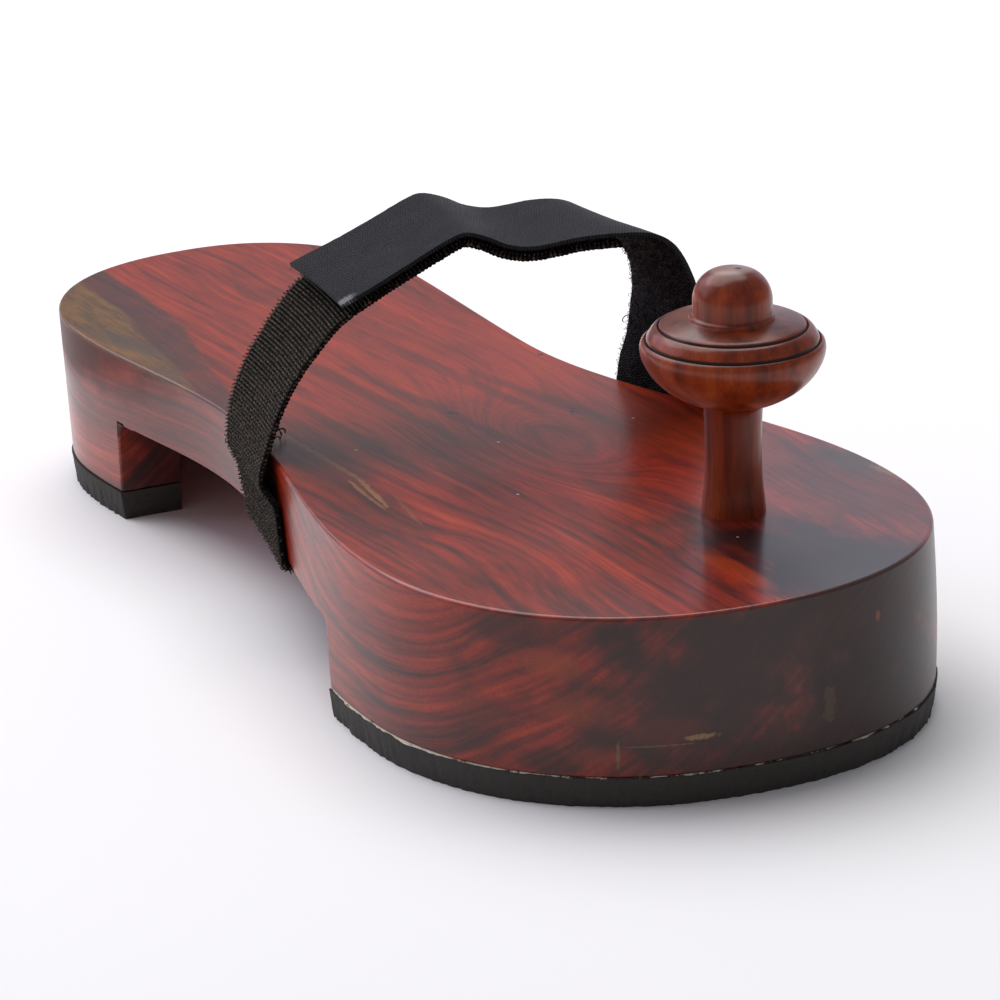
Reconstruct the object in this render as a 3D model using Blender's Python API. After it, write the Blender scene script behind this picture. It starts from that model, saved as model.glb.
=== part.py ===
# Toe-knob sandal for the right foot: one carved wooden sole with a turned toe knob glued into it,
# rubber pads under heel and forefoot, and a two-part hook-and-loop strap over the instep.
# Metres, +Z up. The sandal stands on its pads with the toe towards -Y and the big-toe side at +X.
# Sizes are given across the sole from its long axis, along it from the back of the heel (station),
# and up from the floor (height) or from the footbed (rise).

import math

import bmesh
import bpy
from mathutils import Vector

# Sole, seen from above
SOLE_LENGTH = 0.265
HEEL_HALF_WIDTH = 0.0409
HEEL_TIP_ACROSS = 0.005
HEEL_ROUND_LATERAL = 0.045
HEEL_ROUND_MEDIAL = 0.042
WAIST_LATERAL = 0.0358
WAIST_MEDIAL = 0.0400
WAIST_STATION_LATERAL = 0.106
WAIST_STATION_MEDIAL = 0.097
BALL_LATERAL = 0.0506
BALL_MEDIAL = 0.0658
BALL_STATION = 0.207
TOE_TIP_ACROSS = 0.008
HEEL_ROUNDNESS = 2.2
TOE_ROUNDNESS = 2.2

# Sole, seen from the side
FOOTBED_HEIGHT = 0.0386
PAD_THICKNESS = 0.0061
GLUE_GAP = 0.0003
RIM_ROUND = 0.0012
HEEL_TAPER = 0.0020
WALL_BULGE = 0.0008
WALL_BULGE_TURN = 0.72
HEEL_BLOCK_LENGTH = 0.0600
HEEL_BLOCK_SLANT = 0.0016
FOREFOOT_BLOCK_STATION = 0.1866
FOREFOOT_BLOCK_SLANT = 0.0014
ARCH_HEIGHT_HEEL = 0.0224
ARCH_HEIGHT_WAIST = 0.0227
ARCH_HEIGHT_FOREFOOT = 0.0203
ARCH_CORNER_RADIUS = 0.0040
HEEL_RIM_WIDTH = 0.0160
HEEL_CHANNEL_HEIGHT = 0.0190

# Rubber pads
PAD_PROUD = 0.0003
PAD_SIDE_SLANT = 0.0010

# Turned knob: radius and rise over the footbed
KNOB_ACROSS = 0.0265
KNOB_STATION = 0.2147
STEM_FOOT_RADIUS = 0.00645
STEM_WAIST_RADIUS = 0.00565
STEM_HEAD_RADIUS = 0.00605
STEM_HEIGHT = 0.0226
DISC_RADIUS = 0.0184
DISC_THICKNESS = 0.0176
DOME_RADIUS = 0.0079
DOME_HEIGHT = 0.0101
TENON_RADIUS = 0.0050
TENON_LENGTH = 0.0120
GROOVE_DEPTH = 0.0004
GROOVE_WIDTH = 0.0009

# Strap
STRAP_WIDTH = 0.030
STRAP_THICKNESS = 0.0016
STRAP_CLEARANCE = 0.0003
STRAP_STATION = 0.1364
STRAP_SKEW = 0.163
STRAP_RISE = 0.0444
STRAP_WALL_LEAN = 0.0110
STRAP_UNDERLAP = 0.030

# The strap's outer face across the foot, from the lateral wall to the medial wall. Its place across
# is a share of the sole's half width at that edge of the strap, and its rise a share of STRAP_RISE.
# layer tells which half has the row: the hook half, the loop half laid over it, or both.
STRAP_COLUMNS = ("layer", "rear_across", "rear_rise", "front_across", "front_rise")
STRAP_ROWS = (
    ("hook", -1.047, -0.09, -1.083, -0.09),
    ("hook", -1.030, 0.09, -1.042, 0.09),
    ("hook", -0.960, 0.26, -0.983, 0.26),
    ("hook", -0.871, 0.40, -0.904, 0.41),
    ("hook", -0.769, 0.53, -0.816, 0.53),
    ("hook", -0.650, 0.65, -0.708, 0.65),
    ("loop", -0.690, 0.73, -0.704, 0.72),
    ("both", -0.481, 0.81, -0.566, 0.79),
    ("both", -0.305, 0.88, -0.429, 0.87),
    ("both", -0.079, 0.98, -0.226, 0.98),
    ("both", 0.012, 1.00, -0.149, 1.00),
    ("both", 0.129, 0.97, -0.062, 0.97),
    ("both", 0.241, 0.92, 0.034, 0.92),
    ("both", 0.377, 0.896, 0.151, 0.90),
    ("both", 0.588, 0.912, 0.351, 0.92),
    ("both", 0.759, 0.894, 0.531, 0.92),
    ("loop", 0.886, 0.83, 0.666, 0.90),
    ("loop", 0.998, 0.74, 0.756, 0.84),
    ("loop", 1.109, 0.62, 0.819, 0.735),
    ("loop", 1.144, 0.48, 0.862, 0.61),
    ("loop", 1.134, 0.34, 0.879, 0.49),
    ("loop", 1.109, 0.20, 0.927, 0.25),
    ("loop", 1.062, 0.05, 1.045, 0.05),
)

# Heights on the wall, as shares of it, where the strap lies against the wood above its bend
STRAP_WALL_SHARES = (0.25, 0.55)

# The knob's outline. The stem's rows are shares of its waist radius and of its height, the disc's
# are shares of its radius and thickness, and the dome's foot has shares of the dome's sizes.
OUTLINE_COLUMNS = ("radius", "rise")
STEM_ROWS = (
    (1.11, 0.10),
    (1.02, 0.35),
    (1.00, 0.62),
    (1.01, 0.82),
)
DISC_ROWS = (
    (0.48, 0.055),
    (0.60, 0.115),
    (0.76, 0.225),
    (0.905, 0.385),
    (0.98, 0.53),
    (1.00, 0.64),
    (0.985, 0.715),
)
GROOVE_COLUMNS = ("radius", "rise", "slope")
GROOVE_ROWS = (
    (0.935, 0.775, 0.9),
    (0.80, 0.915, 0.5),
)
DISC_TOP_RADIUS = 0.62
DISC_TOP_DROP = 0.035
DOME_FOOT_ROWS = (
    (1.12, 0.0),
    (1.03, 0.02),
    (1.00, 0.10),
)
DOME_SHOULDER = 0.30
DOME_FULLNESS = 0.85

# Finishes: base colour, roughness
FINISHES = {
    "polished rosewood": ((0.220, 0.040, 0.028, 1.0), 0.28),
    "turned rosewood": ((0.180, 0.034, 0.024, 1.0), 0.25),
    "cut sheet rubber": ((0.024, 0.024, 0.022, 1.0), 0.85),
    "woven hook tape": ((0.030, 0.028, 0.024, 1.0), 0.90),
    "woven loop tape": ((0.020, 0.021, 0.024, 1.0), 0.85),
}

# The sole's two sides: which way each lies from the axis, and its widths and where they are
SIDES = {
    "lateral": {"sign": -1.0, "heel_round": HEEL_ROUND_LATERAL, "waist": WAIST_LATERAL,
                "waist_station": WAIST_STATION_LATERAL, "ball": BALL_LATERAL},
    "medial": {"sign": 1.0, "heel_round": HEEL_ROUND_MEDIAL, "waist": WAIST_MEDIAL,
               "waist_station": WAIST_STATION_MEDIAL, "ball": BALL_MEDIAL},
}

# How finely the curves are cut into flats
ROUND_STEPS = 9
SIDE_STEPS = 14
WALL_STEPS = 3
RIM_STEPS = 2
ARCH_STEPS = 10
CORNER_STEPS = 4
KNOB_STEPS = 36
DOME_STEPS = 6
UNDERLAP_STEPS = 4
STRAP_COLUMN_STEPS = 4
STRAP_ROW_STEPS = 3
CORNER_MARGIN = 0.002
SMOOTH_ANGLE = 38
SETTLE_ROUNDS = 4


def place(across, station, height):
    """A point of the sole in the part's frame, whose origin is the middle of the sandal's box."""
    middle = (BALL_MEDIAL - BALL_LATERAL) / 2
    overall = SOLE_LENGTH + max(WALL_BULGE, forefoot_pad_growth())
    return Vector((across - middle, overall / 2 - station, height))


def ease(share):
    """Half a cosine wave from 0 to 1."""
    return (1 - math.cos(math.pi * min(max(share, 0.0), 1.0))) / 2


def side_width(side, station):
    """Half width of the sole between the heel's round and the toe's round."""
    shape = SIDES[side]
    waist = shape["waist"]
    if station < shape["waist_station"]:
        share = (station - shape["heel_round"]) / (shape["waist_station"] - shape["heel_round"])
        return HEEL_HALF_WIDTH + (waist - HEEL_HALF_WIDTH) * ease(share)
    share = (station - shape["waist_station"]) / (BALL_STATION - shape["waist_station"])
    return waist + (shape["ball"] - waist) * ease(share)


def end_round(tip, side_reach, depth, roundness, turn):
    """A point on a quarter of a rounded end, from its tip (turn 0) to its side (turn 1)."""
    angle = turn * math.pi / 2
    across = tip + (side_reach - tip) * math.sin(angle) ** (2 / roundness)
    return across, depth * (1 - math.cos(angle) ** (2 / roundness))


def side_outline(side):
    """One side of the sole's outline from the heel's tip to the toe's tip, as across and station."""
    sign = SIDES[side]["sign"]
    heel_round = SIDES[side]["heel_round"]
    points = []
    for step in range(ROUND_STEPS + 1):
        points.append(end_round(HEEL_TIP_ACROSS, sign * HEEL_HALF_WIDTH, heel_round,
                                HEEL_ROUNDNESS, step / ROUND_STEPS))
    for step in range(1, SIDE_STEPS):
        station = heel_round + (BALL_STATION - heel_round) * step / SIDE_STEPS
        points.append((sign * side_width(side, station), station))
    for step in range(ROUND_STEPS, -1, -1):
        across, back = end_round(TOE_TIP_ACROSS, sign * SIDES[side]["ball"],
                                 SOLE_LENGTH - BALL_STATION, TOE_ROUNDNESS, step / ROUND_STEPS)
        points.append((across, SOLE_LENGTH - back))
    return points


def sole_outline():
    """The whole outline, from the heel's tip along the lateral side to the toe and back."""
    return side_outline("lateral") + side_outline("medial")[-2:0:-1]


def grown(points, growth):
    """The closed outline moved outwards, by growth(station) at each point."""
    moved = []
    for index, (across, station) in enumerate(points):
        before = points[index - 1]
        after = points[(index + 1) % len(points)]
        run = Vector((after[0] - before[0], after[1] - before[1])).normalized()
        size = growth(station)
        moved.append((across - run.y * size, station + run.x * size))
    return moved


def forefoot_pad_growth():
    """How far the forefoot pad stands out from the footbed's edge."""
    return WALL_BULGE * math.sin(math.pi * WALL_BULGE_TURN) + PAD_PROUD


def new_material(finish):
    """A Principled material with the finish's colour and roughness."""
    colour, roughness = FINISHES[finish]
    material = bpy.data.materials.new(finish)
    material.use_nodes = True
    shader = material.node_tree.nodes["Principled BSDF"]
    shader.inputs["Base Color"].default_value = colour
    shader.inputs["Roughness"].default_value = roughness
    shader.inputs["Metallic"].default_value = 0.0
    return material


def add_object(name, mesh_edit, finish=None):
    """Turn a bmesh into a named object, with its finish."""
    bmesh.ops.recalc_face_normals(mesh_edit, faces=mesh_edit.faces)
    mesh = bpy.data.meshes.new(name)
    mesh_edit.to_mesh(mesh)
    mesh_edit.free()
    made = bpy.data.objects.new(name, mesh)
    bpy.context.scene.collection.objects.link(made)
    if finish:
        mesh.materials.append(new_material(finish))
    return made


def smooth_by_angle(made):
    """Shade smooth, with edges sharper than the angle kept sharp."""
    made.data.shade_smooth()
    made.data.set_sharp_from_angle(angle=math.radians(SMOOTH_ANGLE))


def lofted_block(levels):
    """A closed block through outlines with equal numbers of points, from the lowest up."""
    block = bmesh.new()
    rings = []
    for height, points in levels:
        rings.append([block.verts.new(place(across, station, height)) for across, station in points])
    count = len(rings[0])
    ring_edges = []
    for ring in rings:
        ring_edges.append([block.edges.new((ring[i], ring[(i + 1) % count])) for i in range(count)])
    for lower, upper in zip(ring_edges, ring_edges[1:]):
        bmesh.ops.bridge_loops(block, edges=lower + upper)
    block.faces.new(rings[0][::-1])
    block.faces.new(rings[-1])
    return block


def add_cutter(name, block):
    """A hidden object that only cuts."""
    cutter = add_object(name, block)
    cutter.hide_render = True
    cutter.display_type = "WIRE"
    return cutter


def cut(made, cutter):
    """Take the cutter's shape away from an object."""
    modifier = made.modifiers.new(cutter.name, "BOOLEAN")
    modifier.operation = "DIFFERENCE"
    modifier.solver = "EXACT"
    modifier.object = cutter


def arch_height(station):
    """Height of the footbed's underside over the arch."""
    waist = WAIST_STATION_LATERAL
    if station < waist:
        share = (station - HEEL_BLOCK_LENGTH) / (waist - HEEL_BLOCK_LENGTH)
        return ARCH_HEIGHT_HEEL + (ARCH_HEIGHT_WAIST - ARCH_HEIGHT_HEEL) * ease(share)
    share = (station - waist) / (FOREFOOT_BLOCK_STATION - waist)
    return ARCH_HEIGHT_WAIST + (ARCH_HEIGHT_FOREFOOT - ARCH_HEIGHT_WAIST) * ease(share)


def heel_front(height):
    """Station of the heel block's front face, which slants back towards the floor."""
    return HEEL_BLOCK_LENGTH - HEEL_BLOCK_SLANT * (1 - height / ARCH_HEIGHT_HEEL)


def forefoot_rear(height):
    """Station of the forefoot block's rear face, which slants forward towards the floor."""
    return FOREFOOT_BLOCK_STATION + FOREFOOT_BLOCK_SLANT * (1 - height / ARCH_HEIGHT_FOREFOOT)


def arch_cutter():
    """The gap between the heel block and the forefoot block, right across the sole."""
    below = -PAD_THICKNESS
    profile = [(heel_front(below), below), (heel_front(ARCH_HEIGHT_HEEL), ARCH_HEIGHT_HEEL)]
    corner = ARCH_CORNER_RADIUS
    last = FOREFOOT_BLOCK_STATION - corner
    for step in range(1, ARCH_STEPS + 1):
        station = HEEL_BLOCK_LENGTH + (last - HEEL_BLOCK_LENGTH) * step / ARCH_STEPS
        profile.append((station, arch_height(station)))
    for step in range(1, CORNER_STEPS + 1):
        angle = math.pi / 2 * step / CORNER_STEPS
        profile.append((last + corner * math.sin(angle),
                        arch_height(last) - corner * (1 - math.cos(angle))))
    profile.append((forefoot_rear(below), below))
    block = bmesh.new()
    reach = BALL_LATERAL + BALL_MEDIAL
    face = block.faces.new([block.verts.new(place(-reach, s, h)) for s, h in profile])
    pushed = bmesh.ops.extrude_face_region(block, geom=[face])
    moved = [item for item in pushed["geom"] if isinstance(item, bmesh.types.BMVert)]
    bmesh.ops.translate(block, verts=moved, vec=(2 * reach, 0, 0))
    return add_cutter("cut_arch", block)


def heel_part(points, front):
    """The points of an outline behind a station, from the medial front round the heel's back."""
    half = len(points) // 2
    behind = front - CORNER_MARGIN
    lateral = [p for p in points[:half] if p[1] < behind and p[0] <= HEEL_TIP_ACROSS]
    medial = [p for p in points[half:] if p[1] < behind and p[0] > HEEL_TIP_ACROSS]
    return medial + lateral


def heel_channel_outline(front):
    """The horseshoe's inner edge: the heel's outline moved in by the rim, open at the front."""
    inner = grown(sole_outline(), lambda station: -HEEL_RIM_WIDTH)
    edge = HEEL_HALF_WIDTH - HEEL_RIM_WIDTH
    return [(edge, front)] + heel_part(inner, front) + [(-edge, front)]


def heel_channel_cutter():
    """The hollow that makes the heel block a horseshoe, open towards the arch."""
    points = heel_channel_outline(HEEL_BLOCK_LENGTH + HEEL_RIM_WIDTH)
    block = lofted_block([(-PAD_THICKNESS, points), (HEEL_CHANNEL_HEIGHT, points)])
    return add_cutter("cut_heel_channel", block)


def knob_socket_cutter():
    """The blind hole that takes the knob's tenon."""
    block = bmesh.new()
    depth = TENON_LENGTH + 2 * GLUE_GAP
    bmesh.ops.create_cone(block, segments=KNOB_STEPS, radius1=TENON_RADIUS + GLUE_GAP,
                          radius2=TENON_RADIUS + GLUE_GAP, depth=2 * depth, cap_ends=True)
    bmesh.ops.translate(block, verts=block.verts,
                        vec=place(KNOB_ACROSS, KNOB_STATION, FOOTBED_HEIGHT))
    return add_cutter("cut_knob_socket", block)


def taper(station, height):
    """How far a wall stands out from the footbed's edge: the heel draws in, the forefoot swells."""
    drop = (FOOTBED_HEIGHT - height) / (FOOTBED_HEIGHT - PAD_THICKNESS)
    forward = ease((station - HEEL_BLOCK_LENGTH) / (FOREFOOT_BLOCK_STATION - HEEL_BLOCK_LENGTH))
    swell = WALL_BULGE * math.sin(math.pi * WALL_BULGE_TURN * min(drop, 1.0))
    return forward * swell - (1 - forward) * HEEL_TAPER * drop


def build_sole():
    """Footbed, heel block and forefoot block, carved in one piece."""
    outline = sole_outline()
    bottom = PAD_THICKNESS + GLUE_GAP
    span = FOOTBED_HEIGHT - bottom
    levels = []
    for step in range(WALL_STEPS + 1):
        height = bottom + span * step / WALL_STEPS
        levels.append((height, grown(outline, lambda station: taper(station, height))))
    block = lofted_block(levels)
    rim = [edge for edge in block.edges
           if all(vert.co.z > FOOTBED_HEIGHT - RIM_ROUND for vert in edge.verts)]
    bmesh.ops.bevel(block, geom=rim, offset=RIM_ROUND, offset_type="OFFSET",
                    segments=RIM_STEPS, profile=0.5, affect="EDGES", material=-1)
    sole = add_object("wood_sole", block, "polished rosewood")
    cut(sole, arch_cutter())
    cut(sole, heel_channel_cutter())
    cut(sole, knob_socket_cutter())
    smooth_by_angle(sole)
    return sole


def pad_block(name, outline):
    """A rubber pad whose sides, cut with a knife, slant in towards the floor."""
    foot = grown(outline, lambda station: -PAD_SIDE_SLANT)
    block = lofted_block([(0.0, foot), (PAD_THICKNESS, outline)])
    pad = add_object(name, block, "cut sheet rubber")
    smooth_by_angle(pad)
    return pad


def build_forefoot_pad():
    """Rubber glued under the forefoot block, a little proud of the wood."""
    rear = forefoot_rear(PAD_THICKNESS)
    growth = forefoot_pad_growth()
    outline = grown(sole_outline(), lambda station: growth)
    kept = [p for p in outline if p[1] > rear + CORNER_MARGIN]
    lateral = (-side_width("lateral", rear) - growth, rear)
    medial = (side_width("medial", rear) + growth, rear)
    return pad_block("forefoot_pad", [lateral] + kept + [medial])


def build_heel_pad():
    """Rubber glued under the horseshoe heel block."""
    front = heel_front(PAD_THICKNESS)
    growth = PAD_PROUD - HEEL_TAPER
    outer = heel_part(grown(sole_outline(), lambda station: growth), front)
    corner = HEEL_HALF_WIDTH + growth
    inner = heel_channel_outline(front)
    return pad_block("heel_pad", [(corner, front)] + outer + [(-corner, front)] + inner[::-1])


def outline_points(rows, radius, foot, height):
    """Points of the knob's outline from a table of shares."""
    points = []
    for row in rows:
        share = dict(zip(OUTLINE_COLUMNS, row))
        points.append((radius * share["radius"], foot + height * share["rise"]))
    return points


def groove_points(row):
    """Three points of a fine turned groove on the disc's top, which falls outwards."""
    values = dict(zip(GROOVE_COLUMNS, row))
    radius = DISC_RADIUS * values["radius"]
    rise = STEM_HEIGHT + DISC_THICKNESS * values["rise"]
    half = GROOVE_WIDTH / 2
    return [
        (radius + half, rise - half * values["slope"]),
        (radius, rise - GROOVE_DEPTH),
        (radius - half, rise + half * values["slope"]),
    ]


def knob_profile():
    """Radius and rise of the knob from the tenon's foot to the top of the dome."""
    top = STEM_HEIGHT + DISC_THICKNESS
    profile = [
        (0.0, -TENON_LENGTH),
        (TENON_RADIUS, -TENON_LENGTH),
        (TENON_RADIUS, GLUE_GAP),
        (STEM_FOOT_RADIUS, GLUE_GAP),
    ]
    profile += outline_points(STEM_ROWS, STEM_WAIST_RADIUS, 0.0, STEM_HEIGHT)
    profile.append((STEM_HEAD_RADIUS, STEM_HEIGHT))
    profile += outline_points(DISC_ROWS, DISC_RADIUS, STEM_HEIGHT, DISC_THICKNESS)
    for row in GROOVE_ROWS:
        profile += groove_points(row)
    profile.append((DISC_RADIUS * DISC_TOP_RADIUS, top - DISC_THICKNESS * DISC_TOP_DROP))
    profile += outline_points(DOME_FOOT_ROWS, DOME_RADIUS, top, DOME_HEIGHT)
    for step in range(1, DOME_STEPS):
        angle = math.pi / 2 * step / DOME_STEPS
        rise = DOME_SHOULDER + (1 - DOME_SHOULDER) * math.sin(angle)
        profile.append((DOME_RADIUS * math.cos(angle) ** DOME_FULLNESS, top + DOME_HEIGHT * rise))
    profile.append((0.0, top + DOME_HEIGHT))
    return profile


def build_knob():
    """Toe knob turned in one piece: tenon, stem, grooved disc and dome."""
    turning = bmesh.new()
    verts = [turning.verts.new((radius, 0, rise)) for radius, rise in knob_profile()]
    edges = [turning.edges.new(pair) for pair in zip(verts, verts[1:])]
    bmesh.ops.spin(turning, geom=verts + edges, axis=(0, 0, 1), cent=(0, 0, 0),
                   angle=math.tau, steps=KNOB_STEPS, use_merge=True)
    bmesh.ops.remove_doubles(turning, verts=turning.verts, dist=0.00001)
    knob = add_object("toe_knob", turning, "turned rosewood")
    knob.location = place(KNOB_ACROSS, KNOB_STATION, FOOTBED_HEIGHT)
    smooth_by_angle(knob)
    return knob


def strap_station(column, across):
    """Station of a line along the strap: column 0 is its rear edge and 1 its front edge."""
    askew_width = STRAP_WIDTH * math.sqrt(1 + STRAP_SKEW ** 2)
    middle = (BALL_MEDIAL - BALL_LATERAL) / 2
    return STRAP_STATION + STRAP_SKEW * (across - middle) + (column - 0.5) * askew_width


def wall_foot(side, column):
    """The sole's edge, and its station, where a line along the strap comes down to it."""
    sign = SIDES[side]["sign"]
    across = sign * SIDES[side]["waist"]
    for _ in range(SETTLE_ROUNDS):
        station = strap_station(column, across)
        across = sign * side_width(side, station)
    return across, station


def wall_face(side, station, height):
    """Where the sole's wall stands, with its swell and taper."""
    return SIDES[side]["sign"] * (side_width(side, station) + taper(station, height))


def strap_row(values):
    """The strap's outer face along one row of the table, from rear edge to front edge."""
    points = []
    for step in range(STRAP_COLUMN_STEPS + 1):
        column = step / STRAP_COLUMN_STEPS
        lateral, _ = wall_foot("lateral", column)
        medial, _ = wall_foot("medial", column)
        share = values["rear_across"] + (values["front_across"] - values["rear_across"]) * column
        rise = values["rear_rise"] + (values["front_rise"] - values["rear_rise"]) * column
        across = (lateral + medial) / 2 + share * (medial - lateral) / 2
        points.append(place(across, strap_station(column, across),
                            FOOTBED_HEIGHT + rise * STRAP_RISE))
    return points


def strap_rows(layer):
    """The table's rows of one half, each with whether the other half lies over or under it."""
    rows = []
    for row in STRAP_ROWS:
        values = dict(zip(STRAP_COLUMNS, row))
        if values["layer"] in (layer, "both"):
            rows.append((strap_row(values), values["layer"] == "both"))
    return rows


def wrap_line(side, column, lean):
    """One line of the strap's outer face from under the footbed, round its edge, up the wall."""
    offset = STRAP_CLEARANCE + STRAP_THICKNESS
    sign = SIDES[side]["sign"]
    _, station = wall_foot(side, column)
    low_station = station + lean
    low_height = arch_height(low_station)
    low_wall = wall_face(side, low_station, low_height)
    points = []
    for step in range(UNDERLAP_STEPS, -1, -1):
        share = step / UNDERLAP_STEPS
        under = low_station + lean * share
        points.append(place(low_wall - sign * STRAP_UNDERLAP * share, under,
                            arch_height(under) - offset))
    for step in range(1, CORNER_STEPS + 1):
        angle = math.pi / 2 * step / CORNER_STEPS
        points.append(place(low_wall + sign * offset * math.sin(angle), low_station,
                            low_height - offset * math.cos(angle)))
    for share in STRAP_WALL_SHARES:
        height = low_height + (FOOTBED_HEIGHT - low_height) * share
        leaning = low_station - lean * share
        points.append(place(wall_face(side, leaning, height) + sign * offset, leaning, height))
    return points


def wrap_rows(side, lean):
    """The strap's outer face from its end under the footbed to the wall, row by row."""
    lines = [wrap_line(side, step / STRAP_COLUMN_STEPS, lean)
             for step in range(STRAP_COLUMN_STEPS + 1)]
    return [list(row) for row in zip(*lines)]


def flowing(points, steps):
    """A smooth curve through points, as a list with some steps between each two."""
    curve = []
    count = len(points)
    for index in range(count - 1):
        before = points[max(index - 1, 0)]
        start = points[index]
        end = points[index + 1]
        after = points[min(index + 2, count - 1)]
        for step in range(steps):
            t = step / steps
            curve.append(0.5 * (2 * start + (end - before) * t
                                + (2 * before - 5 * start + 4 * end - after) * t ** 2
                                + (3 * start - before - 3 * end + after) * t ** 3))
    curve.append(points[-1])
    return curve


def flowing_rows(rows, steps):
    """Rows with smooth rows put in between them."""
    lines = [flowing(list(line), steps) for line in zip(*rows)]
    return [list(row) for row in zip(*lines)]


def lowered(rows, depth):
    """The hook half's rows, moved in from the outer face where the loop half lies over them."""
    moved = []
    for index, (row, covered) in enumerate(rows):
        before = rows[max(index - 1, 0)][0]
        after = rows[min(index + 1, len(rows) - 1)][0]
        run = (after[0] + after[-1]) - (before[0] + before[-1])
        outwards = (row[-1] - row[0]).cross(run).normalized()
        drop = outwards * depth if covered else Vector((0, 0, 0))
        moved.append([point - drop for point in row])
    return moved


def ribbon(name, rows, finish):
    """A strap half from its outer face's rows, thickened inwards."""
    sheet = bmesh.new()
    grid = [[sheet.verts.new(point) for point in row] for row in rows]
    for near_row, far_row in zip(grid, grid[1:]):
        for column in range(len(near_row) - 1):
            sheet.faces.new((near_row[column], near_row[column + 1],
                             far_row[column + 1], far_row[column]))
    mesh = bpy.data.meshes.new(name)
    sheet.normal_update()
    sheet.to_mesh(mesh)
    sheet.free()
    strap = bpy.data.objects.new(name, mesh)
    bpy.context.scene.collection.objects.link(strap)
    mesh.materials.append(new_material(finish))
    solid = strap.modifiers.new("tape thickness", "SOLIDIFY")
    solid.thickness = STRAP_THICKNESS
    solid.offset = -1.0
    solid.use_even_offset = True


def build_straps():
    """The hook half from the lateral wall, and the loop half laid over it from the medial wall."""
    hook_wrap = wrap_rows("lateral", STRAP_WALL_LEAN)
    hook_top = lowered(strap_rows("hook"), STRAP_THICKNESS + STRAP_CLEARANCE)
    hook_over = flowing_rows([hook_wrap[-1]] + hook_top, STRAP_ROW_STEPS)
    ribbon("strap_hook_half", hook_wrap[:-1] + hook_over, "woven hook tape")
    loop_wrap = wrap_rows("medial", 0.0)[::-1]
    loop_top = [row for row, _ in strap_rows("loop")]
    loop_over = flowing_rows(loop_top + [loop_wrap[0]], STRAP_ROW_STEPS)
    ribbon("strap_loop_half", loop_over + loop_wrap[1:], "woven loop tape")


def main():
    """Clear the scene and build the sandal."""
    for old in list(bpy.data.objects):
        bpy.data.objects.remove(old, do_unlink=True)
    build_sole()
    build_knob()
    build_forefoot_pad()
    build_heel_pad()
    build_straps()


main()
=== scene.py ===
# Toe-knob sandal for the right foot: polished rosewood, black hook-and-loop strap, rubber pads.
# Sizes are in millimetres as a maker would note them; mm turns them into Blender's metres.
import math
import random
from functools import partial

import bmesh
import bpy
import numpy as np
from mathutils import Matrix, Vector, noise


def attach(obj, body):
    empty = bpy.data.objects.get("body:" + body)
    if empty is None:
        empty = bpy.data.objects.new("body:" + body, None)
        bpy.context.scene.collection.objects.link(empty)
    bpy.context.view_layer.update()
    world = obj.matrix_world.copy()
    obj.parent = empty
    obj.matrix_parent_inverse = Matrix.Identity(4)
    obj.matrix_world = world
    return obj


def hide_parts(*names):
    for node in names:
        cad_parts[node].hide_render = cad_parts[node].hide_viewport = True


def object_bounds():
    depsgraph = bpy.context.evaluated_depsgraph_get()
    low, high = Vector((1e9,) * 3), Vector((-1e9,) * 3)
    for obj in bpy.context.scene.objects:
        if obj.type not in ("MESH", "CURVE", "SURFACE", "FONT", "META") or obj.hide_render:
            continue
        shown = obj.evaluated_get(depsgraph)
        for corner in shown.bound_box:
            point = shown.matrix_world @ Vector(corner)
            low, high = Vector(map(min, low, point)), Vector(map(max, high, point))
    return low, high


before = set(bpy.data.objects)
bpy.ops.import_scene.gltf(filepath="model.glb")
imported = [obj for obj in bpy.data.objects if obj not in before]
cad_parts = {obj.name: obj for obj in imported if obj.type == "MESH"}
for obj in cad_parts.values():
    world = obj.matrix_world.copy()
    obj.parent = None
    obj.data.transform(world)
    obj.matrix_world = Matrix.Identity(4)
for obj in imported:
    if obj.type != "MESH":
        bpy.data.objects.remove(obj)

cadLow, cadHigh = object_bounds()
mm = 0.001
print("frame loaded, nodes:", ", ".join(sorted(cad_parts)))


def shareBetween(value, start, end):
    return min(max((value - start) / (end - start), 0.0), 1.0)


def ease(share):
    return (1 - math.cos(math.pi * share)) / 2  # half a cosine wave from 0 to 1


# Mesh helpers

def vertsOf(items):
    return [item for item in items if isinstance(item, bmesh.types.BMVert)]


def meshFrom(edit, name):
    mesh = bpy.data.meshes.new(name)
    edit.to_mesh(mesh)
    edit.free()
    return mesh


def smoothFaces(mesh, angle=38):
    mesh.shade_smooth()
    mesh.set_sharp_from_angle(angle=math.radians(angle))


def newObject(name, mesh, finish):
    made = bpy.data.objects.new(name, mesh)
    bpy.context.scene.collection.objects.link(made)
    mesh.materials.clear()
    mesh.materials.append(finish)
    return made


def finishMesh(edit, name, finish, smoothAngle=38):
    bmesh.ops.recalc_face_normals(edit, faces=edit.faces)
    mesh = meshFrom(edit, name)
    smoothFaces(mesh, smoothAngle)
    return newObject(name, mesh, finish)


def baked(piece):  # the piece with its modifiers applied to its mesh
    graph = bpy.context.evaluated_depsgraph_get()
    mesh = bpy.data.meshes.new_from_object(piece.evaluated_get(graph))
    piece.modifiers.clear()
    piece.data = mesh
    return piece


def carve(piece, cutters):
    for cutter in cutters:
        made = piece.modifiers.new(cutter.name, "BOOLEAN")
        made.operation = "DIFFERENCE"
        made.solver = "EXACT"
        made.object = cutter
    baked(piece)
    for cutter in cutters:
        bpy.data.objects.remove(cutter, do_unlink=True)


def closedTemplate(edit, name):  # a small mesh to copy, with its open ends filled
    bmesh.ops.holes_fill(edit, edges=[edge for edge in edit.edges if edge.is_boundary])
    bmesh.ops.recalc_face_normals(edit, faces=edit.faces)
    return meshFrom(edit, name)


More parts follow.
